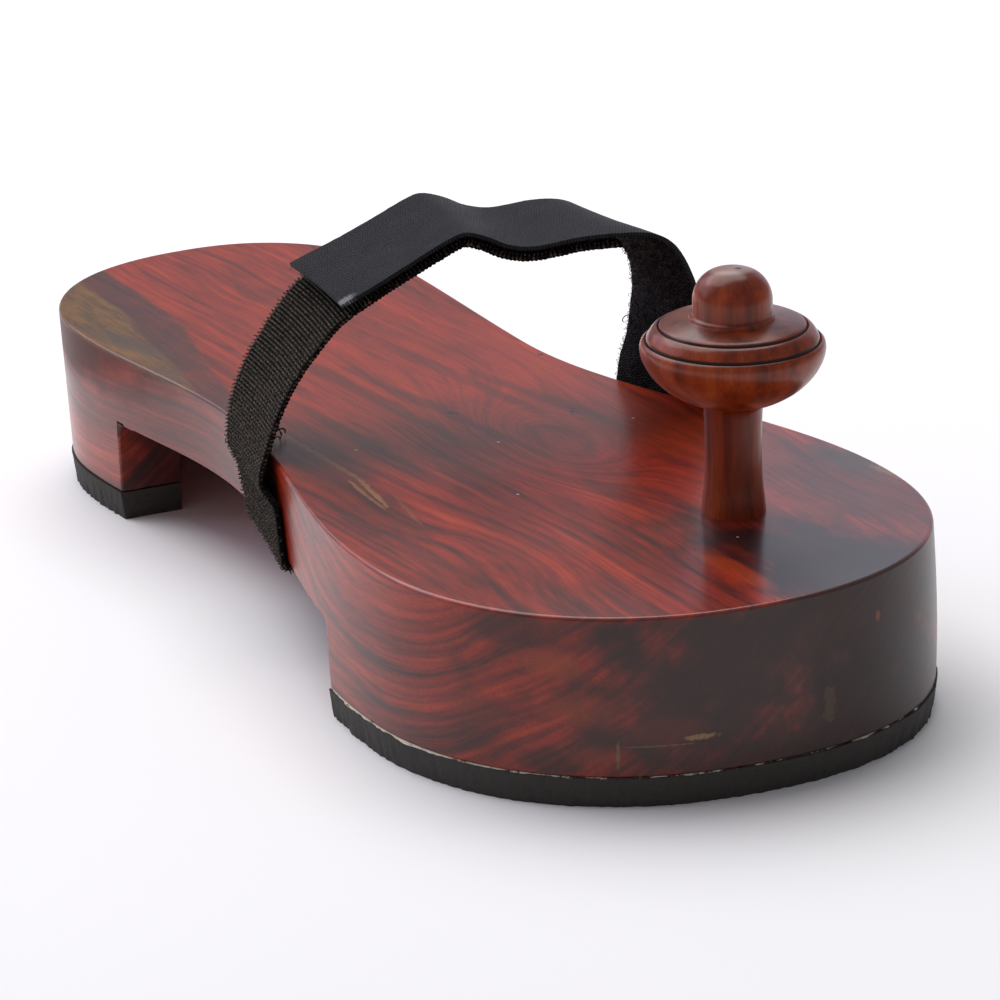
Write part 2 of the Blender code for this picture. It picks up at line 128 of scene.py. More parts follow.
def joinedCopies(name, template, places, finish):
    # many copies of one small mesh as a single mesh; places are 4x4 matrices
    count = len(template.vertices)
    corners = np.empty(count * 3)
    template.vertices.foreach_get("co", corners)
    corners = corners.reshape(-1, 3)
    stacked = np.array([[list(row) for row in place] for place in places])
    moved = np.einsum("kij,vj->kvi", stacked[:, :3, :3], corners) + stacked[:, None, :3, 3]
    faces = [tuple(face.vertices) for face in template.polygons]
    mesh = bpy.data.meshes.new(name)
    mesh.from_pydata(moved.reshape(-1, 3), [],
                     [tuple(v + count * k for v in face) for k in range(len(places)) for face in faces])
    mesh.shade_smooth()
    return newObject(name, mesh, finish)


# Node helpers

def paint(hexCode):  # sRGB hex to linear
    parts = [int(hexCode[i:i + 2], 16) / 255 for i in (1, 3, 5)]
    return tuple(c / 12.92 if c <= 0.04045 else ((c + 0.055) / 1.055) ** 2.4 for c in parts) + (1.0,)


def fill(node, inputs):  # a socket is linked, any other value is typed in
    for name, value in inputs.items():
        socket = node.inputs[name]
        if isinstance(value, bpy.types.NodeSocket):
            node.id_data.links.new(value, socket)
        else:
            socket.default_value = value


def addNode(tree, kind, inputs, out=0, **settings):
    made = tree.nodes.new("ShaderNode" + kind)
    for key, value in settings.items():
        setattr(made, key, value)
    fill(made, inputs)
    return made.outputs[out]


def newFinish(name):  # a material, its shader, and the function that adds nodes to it
    finish = bpy.data.materials.new(name)
    finish.use_nodes = True
    tree = finish.node_tree
    return finish, tree.nodes["Principled BSDF"], partial(addNode, tree)


# Camera, where the photographer stood: lengths in mm, angles in degrees
view = {"target": (-7.7, -31.3, 30.0), "distance": 1410.3, "azimuth": 26.43, "elevation": 19.23,
        "roll": -1.015, "lens": 250.0, "sensor": 36.0}


def addCamera():
    lens = bpy.data.cameras.new("camera")
    lens.lens = view["lens"]
    lens.sensor_width = view["sensor"]
    lens.clip_start = 0.05
    lens.clip_end = 50.0
    camera = bpy.data.objects.new("camera", lens)
    bpy.context.scene.collection.objects.link(camera)
    azimuth, elevation = math.radians(view["azimuth"]), math.radians(view["elevation"])
    ahead = Vector((math.sin(azimuth) * math.cos(elevation), math.cos(azimuth) * math.cos(elevation),
                    -math.sin(elevation)))
    camera.location = Vector(view["target"]) * mm - ahead * view["distance"] * mm
    turn = ahead.to_track_quat("-Z", "Y").to_matrix() @ Matrix.Rotation(math.radians(view["roll"]), 3, "Z")
    camera.rotation_euler = turn.to_euler()
    bpy.context.scene.camera = camera


# Studio: a wide soft box overhead, a window-like one to the left, a pale one low behind, grey walls
studio = {
    "wallColour": "#b6b4ba", "wallLight": 0.55, "floorColour": "#f5f5f5", "floorSide": 12000.0,
    "floorRoughness": 0.9, "floorSpecular": 0.2,
    "lights": (
        # name, place from the sandal (right, behind, up) in metres, width, height, watts, colour
        ("topBox", (-0.45, 0.75, 1.70), 2.4, 1.9, 43.5, "#fffefe"),
        ("windowBox", (-1.60, 0.82, 1.02), 2.5, 1.2, 12.0, "#e4e2ff"),
        ("backBox", (0.66, 1.50, 0.50), 1.20, 0.80, 1.75, "#e2e6ff"),
    ),
}


def addStudio():
    azimuth = math.radians(view["azimuth"])
    right = Vector((math.cos(azimuth), -math.sin(azimuth), 0))
    behind = Vector((math.sin(azimuth), math.cos(azimuth), 0))
    for name, (across, back, up), width, height, watts, colour in studio["lights"]:
        lamp = bpy.data.lights.new(name, "AREA")
        lamp.shape = "RECTANGLE"
        lamp.size = width
        lamp.size_y = height
        lamp.energy = watts
        lamp.color = paint(colour)[:3]
        box = bpy.data.objects.new(name, lamp)
        bpy.context.scene.collection.objects.link(box)
        box.location = right * across + behind * back + Vector((0, 0, up))
        box.rotation_euler = (-box.location).to_track_quat("-Z", "Y").to_euler()
    world = bpy.data.worlds.new("studioWalls")
    bpy.context.scene.world = world
    world.use_nodes = True
    fill(world.node_tree.nodes["Background"], {"Color": paint(studio["wallColour"]),
                                               "Strength": studio["wallLight"]})
    table = bmesh.new()
    bmesh.ops.create_grid(table, x_segments=1, y_segments=1, size=studio["floorSide"] / 2 * mm)
    finish = plainFinish("matte white table", studio["floorColour"], studio["floorRoughness"],
                         studio["floorSpecular"])
    finishMesh(table, "studioFloor", finish)
    bpy.context.scene.view_settings.view_transform = "Standard"


# Sole outline and walls. Across is measured from the long axis, stations from the heel's back.
sole = {
    "length": 265.0, "axisShift": 7.6, "heelHalfWidth": 40.9, "heelTipAcross": 5.0,
    "heelRound": {"lateral": 45.0, "medial": 42.0},
    "waist": {"lateral": 35.8, "medial": 40.0},
    "waistStation": {"lateral": 106.0, "medial": 97.0},
    "ball": {"lateral": 50.6, "medial": 65.8},
    "ballStation": 207.0, "toeTipAcross": 8.0, "roundness": 2.2,
    "footbed": 38.6, "woodFoot": 6.25, "rimRound": 0.75, "heelTaper": 2.0,
    "wallBulge": 0.8, "bulgeTurn": 0.72,
    "heelBlock": 60.0, "heelSlant": 1.6, "forefootBlock": 186.6, "forefootSlant": 1.4,
    "archHeel": 22.4, "archWaist": 22.7, "archForefoot": 20.3, "archCorner": 4.0,
    "heelRim": 16.0, "channelHeight": 19.0, "edgeRound": 0.45,
    "socketRadius": 5.3, "socketDepth": 12.5, "wearAngle": 40,
    "roundSteps": 26, "sideSteps": 46, "wallLevels": 8, "archSteps": 30, "cornerSteps": 8,
}
padSizes = {"thickness": 6.1, "proud": 0.3, "sideSlant": 1.0}
sideSign = {"lateral": -1.0, "medial": 1.0}
reach = cadHigh.y / mm  # from the middle of the box to the heel's back
underFloor = -5.0  # where the cutters begin
footBulge = sole["wallBulge"] * math.sin(math.pi * sole["bulgeTurn"])


def place(across, station, height):
    return Vector((across - sole["axisShift"], reach - station, height)) * mm


def sideWidth(side, station):
    start, waist, ball = sole["waistStation"][side], sole["waist"][side], sole["ball"][side]
    if station < start:
        share = ease(shareBetween(station, sole["heelRound"][side], start))
        return sole["heelHalfWidth"] + (waist - sole["heelHalfWidth"]) * share
    return waist + (ball - waist) * ease(shareBetween(station, start, sole["ballStation"]))


def endRound(tip, sideReach, depth, turn):
    angle = turn * math.pi / 2
    power = 2 / sole["roundness"]
    return tip + (sideReach - tip) * math.sin(angle) ** power, depth * (1 - math.cos(angle) ** power)


def sideOutline(side):
    sign, heelRound, steps = sideSign[side], sole["heelRound"][side], sole["roundSteps"]
    points = [endRound(sole["heelTipAcross"], sign * sole["heelHalfWidth"], heelRound, i / steps)
              for i in range(steps + 1)]
    for i in range(1, sole["sideSteps"]):
        station = heelRound + (sole["ballStation"] - heelRound) * i / sole["sideSteps"]
        points.append((sign * sideWidth(side, station), station))
    for i in range(steps, -1, -1):
        across, back = endRound(sole["toeTipAcross"], sign * sole["ball"][side],
                                sole["length"] - sole["ballStation"], i / steps)
        points.append((across, sole["length"] - back))
    return points


soleOutline = sideOutline("lateral") + sideOutline("medial")[-2:0:-1]


def grownOutline(points, growth):
    grown = []
    for i, (across, station) in enumerate(points):
        before, after = points[i - 1], points[(i + 1) % len(points)]
        run = Vector((after[0] - before[0], after[1] - before[1])).normalized()
        size = growth(across, station)
        grown.append((across - run.y * size, station + run.x * size))
    return grown


def taper(station, height):
    drop = (sole["footbed"] - height) / (sole["footbed"] - padSizes["thickness"])
    forward = ease(shareBetween(station, sole["heelBlock"], sole["forefootBlock"]))
    swell = sole["wallBulge"] * math.sin(math.pi * sole["bulgeTurn"] * min(drop, 1.0))
    return forward * swell - (1 - forward) * sole["heelTaper"] * drop


def archHeight(station):
    waistStation = sole["waistStation"]["lateral"]
    if station < waistStation:
        share = ease(shareBetween(station, sole["heelBlock"], waistStation))
        return sole["archHeel"] + (sole["archWaist"] - sole["archHeel"]) * share
    share = ease(shareBetween(station, waistStation, sole["forefootBlock"]))
    return sole["archWaist"] + (sole["archForefoot"] - sole["archWaist"]) * share


def heelFront(height):
    return sole["heelBlock"] - sole["heelSlant"] * (1 - height / sole["archHeel"])


def forefootRear(height):
    return sole["forefootBlock"] + sole["forefootSlant"] * (1 - height / sole["archForefoot"])


def outlineBlock(levels):
    # a closed block: a filled ring laid on the lowest outline, pushed up level by level
    block = bmesh.new()
    order = block.verts.layers.int.new("order")
    bmesh.ops.create_circle(block, cap_ends=True, segments=len(levels[0][1]), radius=1.0)
    for i, vert in enumerate(block.verts):
        vert[order] = i
        vert.co = place(*levels[0][1][i], levels[0][0])
    block.faces.ensure_lookup_table()
    bottom = top = block.faces[0]
    for height, points in levels[1:]:
        pushed = bmesh.ops.extrude_face_region(block, geom=[top])["geom"]
        if top is not bottom and top.is_valid:
            bmesh.ops.delete(block, geom=[top], context="FACES_ONLY")
        for vert in vertsOf(pushed):
            vert.co = place(*points[vert[order]], height)
        top = next(item for item in pushed if isinstance(item, bmesh.types.BMFace))
    bmesh.ops.recalc_face_normals(block, faces=block.faces)
    return block


def archCutter():
    corner, side = sole["archCorner"], 1.5 * sole["ball"]["medial"]
    last = sole["forefootBlock"] - corner
    profile = [(heelFront(underFloor), underFloor), (heelFront(sole["archHeel"]), sole["archHeel"])]
    for i in range(1, sole["archSteps"] + 1):
        station = sole["heelBlock"] + (last - sole["heelBlock"]) * i / sole["archSteps"]
        profile.append((station, archHeight(station)))
    for i in range(1, sole["cornerSteps"] + 1):
        angle = math.pi / 2 * i / sole["cornerSteps"]
        profile.append((last + corner * math.sin(angle), archHeight(last) - corner * (1 - math.cos(angle))))
    profile.append((forefootRear(underFloor), underFloor))
    cutter = bmesh.new()
    face = cutter.faces.new([cutter.verts.new(place(-side, *point)) for point in profile])
    pushed = bmesh.ops.extrude_face_region(cutter, geom=[face])["geom"]
    bmesh.ops.translate(cutter, verts=vertsOf(pushed), vec=(2 * side * mm, 0, 0))
    return finishMesh(cutter, "archCutter", None)


def channelCutter():
    inner = grownOutline(soleOutline, lambda across, station: -sole["heelRim"])
    edge = sole["heelHalfWidth"] - sole["heelRim"]
    behind = sole["heelBlock"] - 2.0
    half = len(inner) // 2
    lateral = [p for p in inner[:half] if p[1] < behind and p[0] <= sole["heelTipAcross"]]
    medial = [p for p in inner[half:] if p[1] < behind and p[0] > sole["heelTipAcross"]]
    front = sole["heelBlock"] + sole["heelRim"]
    points = [(edge, front)] + medial + lateral + [(-edge, front)]
    levels = [(underFloor, points), (sole["channelHeight"], points)]
    return finishMesh(outlineBlock(levels), "channelCutter", None)


def socketCutter():
    socket = bmesh.new()
    radius, depth = sole["socketRadius"] * mm, sole["socketDepth"] * mm
    bmesh.ops.create_cone(socket, segments=48, radius1=radius, radius2=radius, depth=2 * depth, cap_ends=True)
    bmesh.ops.translate(socket, verts=socket.verts, vec=knobFoot)
    return finishMesh(socket, "socketCutter", None)


def buildSole(finish):
    span = sole["footbed"] - sole["woodFoot"]
    levels = []
    for i in range(sole["wallLevels"] + 1):
        height = sole["woodFoot"] + span * i / sole["wallLevels"]
        levels.append((height, grownOutline(soleOutline, lambda across, station: taper(station, height))))
    block = outlineBlock(levels)
    rim = [edge for edge in block.edges
           if all(vert.co.z > (sole["footbed"] - 0.1) * mm for vert in edge.verts)]
    bmesh.ops.bevel(block, geom=rim, offset=sole["rimRound"] * mm, offset_type="OFFSET", segments=6,
                    profile=0.5, affect="EDGES", material=-1)
    piece = finishMesh(block, "woodSole", finish)
    carve(piece, [archCutter(), channelCutter(), socketCutter()])
    worn = piece.modifiers.new("handled edges", "BEVEL")
    worn.width = sole["edgeRound"] * mm
    worn.segments = 3
    worn.limit_method = "ANGLE"
    worn.angle_limit = math.radians(sole["wearAngle"])
    worn.use_clamp_overlap = False
    baked(piece)
    piece.data.materials.clear()
    piece.data.materials.append(finish)
    smoothFaces(piece.data)
    level = piece.modifiers.new("flat faces shade flat", "WEIGHTED_NORMAL")
    level.mode = "FACE_AREA"
    level.weight = 100
    level.keep_sharp = True
    baked(piece)
    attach(piece, "root")
    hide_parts("wood_sole")


# Toe knob, turned in one piece; radius and rise over the footbed
knob = {
    "across": 26.5, "station": 214.7, "steps": 96, "crease": 50,
    "tenon": ((0.0, -12.0), (5.0, -12.0), (5.0, 0.0)),
    "stem": ((6.45, 0.0), (6.27, 2.3), (5.93, 5.2), (5.76, 7.9), (5.66, 12.0), (5.66, 15.5), (5.74, 19.0),
             (6.05, 22.4), (7.2, 23.1)),
    "disc": ((8.83, 23.57), (11.04, 24.60), (13.98, 26.56), (16.45, 29.20), (17.85, 31.7), (18.4, 34.0),
             (18.15, 35.3)),
    "groove": 0.85, "grooveDepth": 0.85,
    "grooveWall": ((1.0, 0.0), (0.62, -0.12), (0.3, -0.72)),  # shares of half its width and of its depth
    "grooves": ((17.3, 36.15, 1.1), (14.75, 38.75, 0.55)),  # radius, rise and slope at each
    "bead": ((16.35, 37.45), (15.75, 38.12)),
    "discTop": ((13.9, 39.18), (11.4, 39.72), (9.3, 40.12)),
    "domeFoot": ((8.75, 40.25), (8.5, 40.75), (8.0, 41.05), (7.92, 41.6)),
    "domeRadius": 7.92, "domeShoulder": 44.0, "domeTop": 50.3, "domeSquare": 0.72, "domeRise": 1.1,
    "domeSteps": 13,
}


knobFoot = place(knob["across"], knob["station"], sole["footbed"])


def smoothCurve(points, steps):
    # a flowing curve through the points, steps between each two
    points = [Vector(point) for point in points]
    curve = []
    for i in range(len(points) - 1):
        a, b, c, d = (points[max(i - 1, 0)], points[i], points[i + 1], points[min(i + 2, len(points) - 1)])
        for step in range(steps):
            t = step / steps
            curve.append(0.5 * (2 * b + (c - a) * t + (2 * a - 5 * b + 4 * c - d) * t ** 2
                                + (3 * b - a - 3 * c + d) * t ** 3))
    return curve + [points[-1]]


def knobProfile():
    profile = [Vector(point) for point in knob["tenon"]]
    profile += smoothCurve(knob["stem"] + knob["disc"], 4)
    side = [(knob["groove"] / 2 * share, depth) for share, depth in knob["grooveWall"]]
    wall = side + [(0.0, -1.0)] + [(-across, depth) for across, depth in reversed(side)]
    for (radius, rise, slope), after in zip(knob["grooves"], (knob["bead"], ())):
        for across, depth in wall:
            profile.append(Vector((radius + across, rise - across * slope + depth * knob["grooveDepth"])))
        profile += [Vector(point) for point in after]
    profile += smoothCurve(knob["discTop"], 4) + smoothCurve(knob["domeFoot"], 3)
    height = knob["domeTop"] - knob["domeShoulder"]
    for i in range(knob["domeSteps"]):
        angle = math.pi / 2 * i / knob["domeSteps"]
        profile.append(Vector((knob["domeRadius"] * math.cos(angle) ** knob["domeSquare"],
                               knob["domeShoulder"] + height * math.sin(angle) ** knob["domeRise"])))
    profile.append(Vector((0.0, knob["domeTop"])))
    return profile


def buildKnob(finish):
    turning = bmesh.new()
    verts = [turning.verts.new((point.x * mm, 0, point.y * mm)) for point in knobProfile()]
    edges = [turning.edges.new(pair) for pair in zip(verts, verts[1:])]
    bmesh.ops.spin(turning, geom=verts + edges, axis=(0, 0, 1), cent=(0, 0, 0), angle=math.tau,
                   steps=knob["steps"], use_merge=True)
    bmesh.ops.remove_doubles(turning, verts=turning.verts, dist=0.01 * mm)
    bmesh.ops.translate(turning, verts=turning.verts, vec=knobFoot)
    piece = finishMesh(turning, "toeKnob", finish, knob["crease"])
    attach(piece, "root")
    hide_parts("toe_knob")


# Rubber pads, cut by knife from sheet: walls a little wavy, the lower edge nicked
padCut = {"levels": 6, "finer": 6, "wave": 0.22, "waveLength": 9.0, "nick": 0.42, "nickLength": 1.3,
          "nickFade": 1.15, "grain": 0.625}


def cutEdge(across, station, share):
    spot = place(across, station, 0.0) / mm
    wave = noise.noise(spot / padCut["waveLength"]) * padCut["wave"]
    nick = noise.noise(spot / padCut["nickLength"] + Vector((0, 0, share * 2))) * padCut["nick"]
    return wave + nick * (padCut["nickFade"] - share)


def denser(points, pieces):
    # the closed outline with more points on each of its edges
    made = []
    for i, start in enumerate(points):
        end = points[(i + 1) % len(points)]
        made += [tuple(Vector(start).lerp(Vector(end), j / pieces)) for j in range(pieces)]
    return made


def padBlock(grown):
    levels = []
    outline = denser(soleOutline, padCut["finer"])
    for i in range(padCut["levels"] + 1):
        share = i / padCut["levels"]
        inset = padSizes["sideSlant"] * (1 - share)
        points = grownOutline(outline, lambda across, station:
                              grown - inset + cutEdge(across, station, share))
        levels.append((padSizes["thickness"] * share, points))
    return outlineBlock(levels)


def keepSide(block, station, front):
    # cut the block across at a station, keep the toe's side or the heel's side, and close the cut
    away = -1.0 if front else 1.0
    bmesh.ops.bisect_plane(block, geom=block.verts[:] + block.edges[:] + block.faces[:],
                           plane_co=place(0.0, station, 0.0), plane_no=(0, away, 0),
                           clear_inner=True, dist=0.0001 * mm)
    bmesh.ops.holes_fill(block, edges=[edge for edge in block.edges if edge.is_boundary])


def buildForefootPad(finish):
    block = padBlock(footBulge + padSizes["proud"])
    keepSide(block, forefootRear(padSizes["thickness"]), True)
    piece = finishMesh(block, "forefootPad", finish)
    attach(piece, "root")
    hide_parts("forefoot_pad")


def buildHeelPad(finish):
    block = padBlock(padSizes["proud"] - sole["heelTaper"])
    keepSide(block, heelFront(padSizes["thickness"]), False)
    piece = finishMesh(block, "heelPad", finish)
    carve(piece, [channelCutter()])
    smoothFaces(piece.data)
    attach(piece, "root")
    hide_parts("heel_pad")


# The film of dried cement between wood and rubber, squeezed out here and there
glue = {
    "beads": ((5.0, 0.7), (1.3, 0.5)),  # length of the lumps along the joint, and their share
    "strongFrom": -30.0, "strongAt": -48.0, "strong": 0.35, "least": -0.4, "bead": 0.85, "patch": 3.846,
    "levels": (
        # height, place against the wood's foot, share of the bead
        (5.95, -1.2, 0.0), (6.0, -0.1, 0.2), (6.14, 0.02, 1.0), (6.3, -0.02, 0.8), (6.4, -0.15, 0.2),
        (6.42, -1.2, 0.0),
    ),
}


def buildGlueLine(finish):
    def squeezed(across, station):
        spot = place(across, station, 0.0) / mm
        lumps = sum(noise.noise(spot / length) * share for length, share in glue["beads"])
        strong = glue["strong"] * shareBetween(across, glue["strongFrom"], glue["strongAt"])
        return max(lumps + strong, glue["least"]) * glue["bead"]

    outline = denser(soleOutline, padCut["finer"])
    levels = []
    for height, edge, swell in glue["levels"]:
        levels.append((height, grownOutline(outline, lambda across, station:
                                            footBulge + edge + swell * squeezed(across, station))))
    block = outlineBlock(levels)
    keepSide(block, forefootRear(padSizes["thickness"]) + 0.1, True)
    piece = finishMesh(block, "glueLine", finish)
    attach(piece, "root")


# Strap: rows across the foot from the lateral wall to the medial wall, as shares of the half width
# between the sole's edges and of the rise
strap = {
    "width": 30.0, "tape": 1.6, "clearance": 0.3, "station": 136.4, "skew": 0.163, "rise": 44.4,
    "wallLean": 11.0, "underlap": 30.0, "acrossSteps": 10, "rowSteps": 8,
    "columns": ("layer", "rearAcross", "rearRise", "frontAcross", "frontRise"),
    "rows": (
        ("hook", -1.047, -0.09, -1.083, -0.09),
        ("hook", -1.030, 0.09, -1.042, 0.09),
        ("hook", -0.960, 0.26, -0.983, 0.26),
        ("hook", -0.871, 0.40, -0.904, 0.41),
        ("hook", -0.769, 0.53, -0.816, 0.53),
        ("hook", -0.650, 0.65, -0.708, 0.65),
        ("loop", -0.690, 0.73, -0.704, 0.72),
        ("both", -0.481, 0.81, -0.566, 0.79),
        ("both", -0.305, 0.88, -0.429, 0.87),
        ("both", -0.079, 0.98, -0.226, 0.98),
        ("both", 0.012, 1.00, -0.149, 1.00),
        ("both", 0.129, 0.97, -0.062, 0.97),
        ("both", 0.241, 0.92, 0.034, 0.92),
        ("both", 0.377, 0.896, 0.151, 0.90),
        ("both", 0.588, 0.912, 0.351, 0.92),
        ("both", 0.759, 0.894, 0.531, 0.92),
        ("loop", 0.886, 0.83, 0.666, 0.90),
        ("loop", 0.998, 0.74, 0.756, 0.84),
        ("loop", 1.109, 0.62, 0.819, 0.735),
        ("loop", 1.144, 0.48, 0.862, 0.61),
        ("loop", 1.134, 0.34, 0.879, 0.49),
        ("loop", 1.109, 0.20, 0.927, 0.25),
        ("loop", 1.062, 0.05, 1.045, 0.05),
    ),
}


def strapStation(column, across):
    askew = strap["width"] * math.sqrt(1 + strap["skew"] ** 2)
    return strap["station"] + strap["skew"] * (across - sole["axisShift"]) + (column - 0.5) * askew


def wallFoot(side, column):
    across = sideSign[side] * sole["waist"][side]
    for settle in range(4):
        station = strapStation(column, across)
        across = sideSign[side] * sideWidth(side, station)
    return across, station


def wallFace(side, station, height):
    return sideSign[side] * (sideWidth(side, station) + taper(station, height))


def strapRow(values):
    points = []
    for step in range(strap["acrossSteps"] + 1):
        column = step / strap["acrossSteps"]
        lateral, medial = wallFoot("lateral", column)[0], wallFoot("medial", column)[0]
        share = values["rearAcross"] + (values["frontAcross"] - values["rearAcross"]) * column
        rise = values["rearRise"] + (values["frontRise"] - values["rearRise"]) * column
        across = (lateral + medial) / 2 + share * (medial - lateral) / 2
        points.append(place(across, strapStation(column, across), sole["footbed"] + rise * strap["rise"]))
    return points


def wrapRows(side, lean):
    # from the strap's end under the footbed, round the lower edge and up the wall
    offset = strap["clearance"] + strap["tape"]
    sign = sideSign[side]
    lines = []
    for step in range(strap["acrossSteps"] + 1):
        station = wallFoot(side, step / strap["acrossSteps"])[1]
        lowStation = station + lean
        lowHeight = archHeight(lowStation)
        lowWall = wallFace(side, lowStation, lowHeight)
        line = []
        for share in (1.0, 0.75, 0.5, 0.25, 0.0):
            under = lowStation + lean * share
            line.append(place(lowWall - sign * strap["underlap"] * share, under, archHeight(under) - offset))
        for i in range(1, 7):
            angle = math.pi / 2 * i / 6
            line.append(place(lowWall + sign * offset * math.sin(angle), lowStation,
                              lowHeight - offset * math.cos(angle)))
        for share in (0.25, 0.55):
            height = lowHeight + (sole["footbed"] - lowHeight) * share
            leaning = lowStation - lean * share
            line.append(place(wallFace(side, leaning, height) + sign * offset, leaning, height))
        lines.append(line)
    return [list(row) for row in zip(*lines)]


def lowered(rows, covered, depth):
    moved = []
    for i, row in enumerate(rows):
        before, after = rows[max(i - 1, 0)], rows[min(i + 1, len(rows) - 1)]
        run = (after[0] + after[-1]) - (before[0] + before[-1])
        outwards = (row[-1] - row[0]).cross(run).normalized()
        moved.append([point - outwards * depth * mm * covered[i] for point in row])
    return moved


def flowingRows(rows, steps):
    lines = [smoothCurve(line, steps) for line in zip(*rows)]
    return [list(row) for row in zip(*lines)]


def strapRows(layer):
    rows, covered = [], []
    for row in strap["rows"]:
        values = dict(zip(strap["columns"], row))
        if values["layer"] in (layer, "both"):
            rows.append(strapRow(values))
            covered.append(1.0 if values["layer"] == "both" else 0.0)
    return rows, covered


def hookHalfRows():
    wrap = wrapRows("lateral", strap["wallLean"])
    rows, covered = strapRows("hook")
    over = lowered(rows, covered, strap["tape"] + strap["clearance"])
    return wrap[:-1] + flowingRows([wrap[-1]] + over, strap["rowSteps"])


def loopHalfRows():
    wrap = wrapRows("medial", 0.0)[::-1]
    rows = strapRows("loop")[0]
    return flowingRows(rows + [wrap[0]], strap["rowSteps"]) + wrap[1:]


class Tape:
    # a strap half's outer face: points, outward normals and run, at even steps along its length
    def __init__(self, rows, pitch):
        grid = np.array([[list(point) for point in row] for row in rows])
        middle = grid.mean(axis=1)
        lengths = np.concatenate([[0.0], np.cumsum(np.linalg.norm(np.diff(middle, axis=0), axis=1))])
        self.length = lengths[-1]
        self.count = int(round(self.length / (pitch * mm)))
        self.along = np.linspace(0.0, self.length, self.count + 1)
        self.grid = np.stack([np.stack([np.interp(self.along, lengths, grid[:, j, k]) for k in range(3)], -1)
                              for j in range(grid.shape[1])], 1)
        run = np.gradient(self.grid, axis=0)
        across = np.gradient(self.grid, axis=1)
        self.normals = np.cross(across, run)
        self.normals /= np.linalg.norm(self.normals, axis=-1, keepdims=True)

    def sample(self, across, along, layer):
        # a point or normal at shares of the width and of the length
        j = min(max(across, 0.0), 1.0) * (layer.shape[1] - 1)
        i = min(max(along, 0.0), 1.0) * (layer.shape[0] - 1)
        i0, j0 = min(int(i), layer.shape[0] - 2), min(int(j), layer.shape[1] - 2)
        u, v = i - i0, j - j0
        value = (layer[i0, j0] * (1 - u) * (1 - v) + layer[i0 + 1, j0] * u * (1 - v)
                 + layer[i0, j0 + 1] * (1 - u) * v + layer[i0 + 1, j0 + 1] * u * v)
        return Vector(value)

    def point(self, across, along):
        return self.sample(across, along, self.grid)

    def normal(self, across, along):
        return self.sample(across, along, self.normals).normalized()

    def side(self, along):
        return (self.point(1.0, along) - self.point(0.0, along)).normalized()


def tapeSheet(name, tape, sizes, relief, finish):
    # relief(across, along) gives the lift and the side shift in mm at a point of the tape
    sheet = bmesh.new()
    bmesh.ops.create_grid(sheet, x_segments=sizes["columns"], y_segments=tape.count, size=0.5)
    uv = sheet.loops.layers.uv.new("tape")
    spots = {}
    for vert in sheet.verts:
        across, along = vert.co.x + 0.5, vert.co.y + 0.5
        spots[vert] = (across * strap["width"] * mm, along * tape.length)
        lift, shift = relief(across, along)
        vert.co = (tape.point(across, along) + tape.normal(across, along) * lift * mm
                   + tape.side(along) * shift * mm)
    for face in sheet.faces:
        for loop in face.loops:
            loop[uv].uv = spots[loop.vert]
    piece = newObject(name, meshFrom(sheet, name), finish)
    smoothFaces(piece.data, 180)
    solid = piece.modifiers.new("tape thickness", "SOLIDIFY")
    solid.thickness = sizes["thickness"] * mm
    solid.offset = -1.0
    solid.use_even_offset = False
    smoothFaces(baked(piece).data, 60)
    return piece


hookTape = {"pitch": 0.87, "stepsPerRib": 6, "columns": 34, "thickness": 0.92, "coveredFrom": 92.0,
            "baseDrop": 0.62, "rib": 0.62, "ribRoundness": 0.8, "rough": 0.14, "selvedge": 0.26,
            "frayed": 0.22, "edgeIn": 0.1, "coveredSelvedge": 0.25, "hookRadius": 0.10, "hookRise": 0.22,
            "hookBend": 0.20, "hookTurn": 165, "hookSpacing": 1.7, "hookSunk": 0.12}
loopTape = {"pitch": 1.2, "columns": 30, "thickness": 0.85, "wave": 0.12, "frayed": 0.22, "loopRadius": 0.42,
            "threadRadius": 0.055, "loopSpacing": 0.62, "coveredTo": 62.0, "shownTo": 118.0,
            "stray": 1.9, "strayShare": 0.06}


def edgeSide(across):  # -1 and 1 on the tape's two edges, 0 between them
    return {0.0: -1.0, 1.0: 1.0}.get(across, 0.0)


def buildHookHalf(finish, hookFinish):
    tape = Tape(hookHalfRows(), hookTape["pitch"] / hookTape["stepsPerRib"])
    ribs = tape.length / mm / hookTape["pitch"]

    def relief(across, along):
        phase = along * ribs
        ridge = abs(math.sin(math.pi * phase)) ** hookTape["ribRoundness"]
        rough = noise.noise(Vector((across * 26, phase * 1.3, 0.0)))
        uneven = 0.95 + 0.5 * noise.noise(Vector((across * 3, phase * 0.45, 9.0)))
        lift = hookTape["rib"] * ridge * min(uneven, 1.0) + hookTape["rough"] * rough - hookTape["baseDrop"]
        bare = 1.0 if along * tape.length < hookTape["coveredFrom"] * mm else hookTape["coveredSelvedge"]
        out = hookTape["selvedge"] * ridge * bare + hookTape["frayed"] * rough - hookTape["edgeIn"]
        return lift, edgeSide(across) * out

    piece = tapeSheet("strapHookHalf", tape, hookTape, relief, finish)
    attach(piece, "root")
    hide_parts("strap_hook_half")
    buildHooks(tape, ribs, hookFinish)


def hookTemplate():
    # one nylon hook: a short stem bent over to one side
    rise, bend = hookTape["hookRise"] * mm, hookTape["hookBend"] * mm
    hook = bmesh.new()
    bmesh.ops.create_circle(hook, segments=4, radius=hookTape["hookRadius"] * mm)
    pushed = bmesh.ops.extrude_edge_only(hook, edges=hook.edges[:])["geom"]
    ring = [item for item in pushed if not isinstance(item, bmesh.types.BMFace)]
    bmesh.ops.translate(hook, verts=vertsOf(ring), vec=(0, 0, rise))
    bmesh.ops.spin(hook, geom=ring, cent=(bend, 0, rise), axis=(0, 1, 0),
                   angle=math.radians(hookTape["hookTurn"]), steps=4)
    return closedTemplate(hook, "hookTemplate")


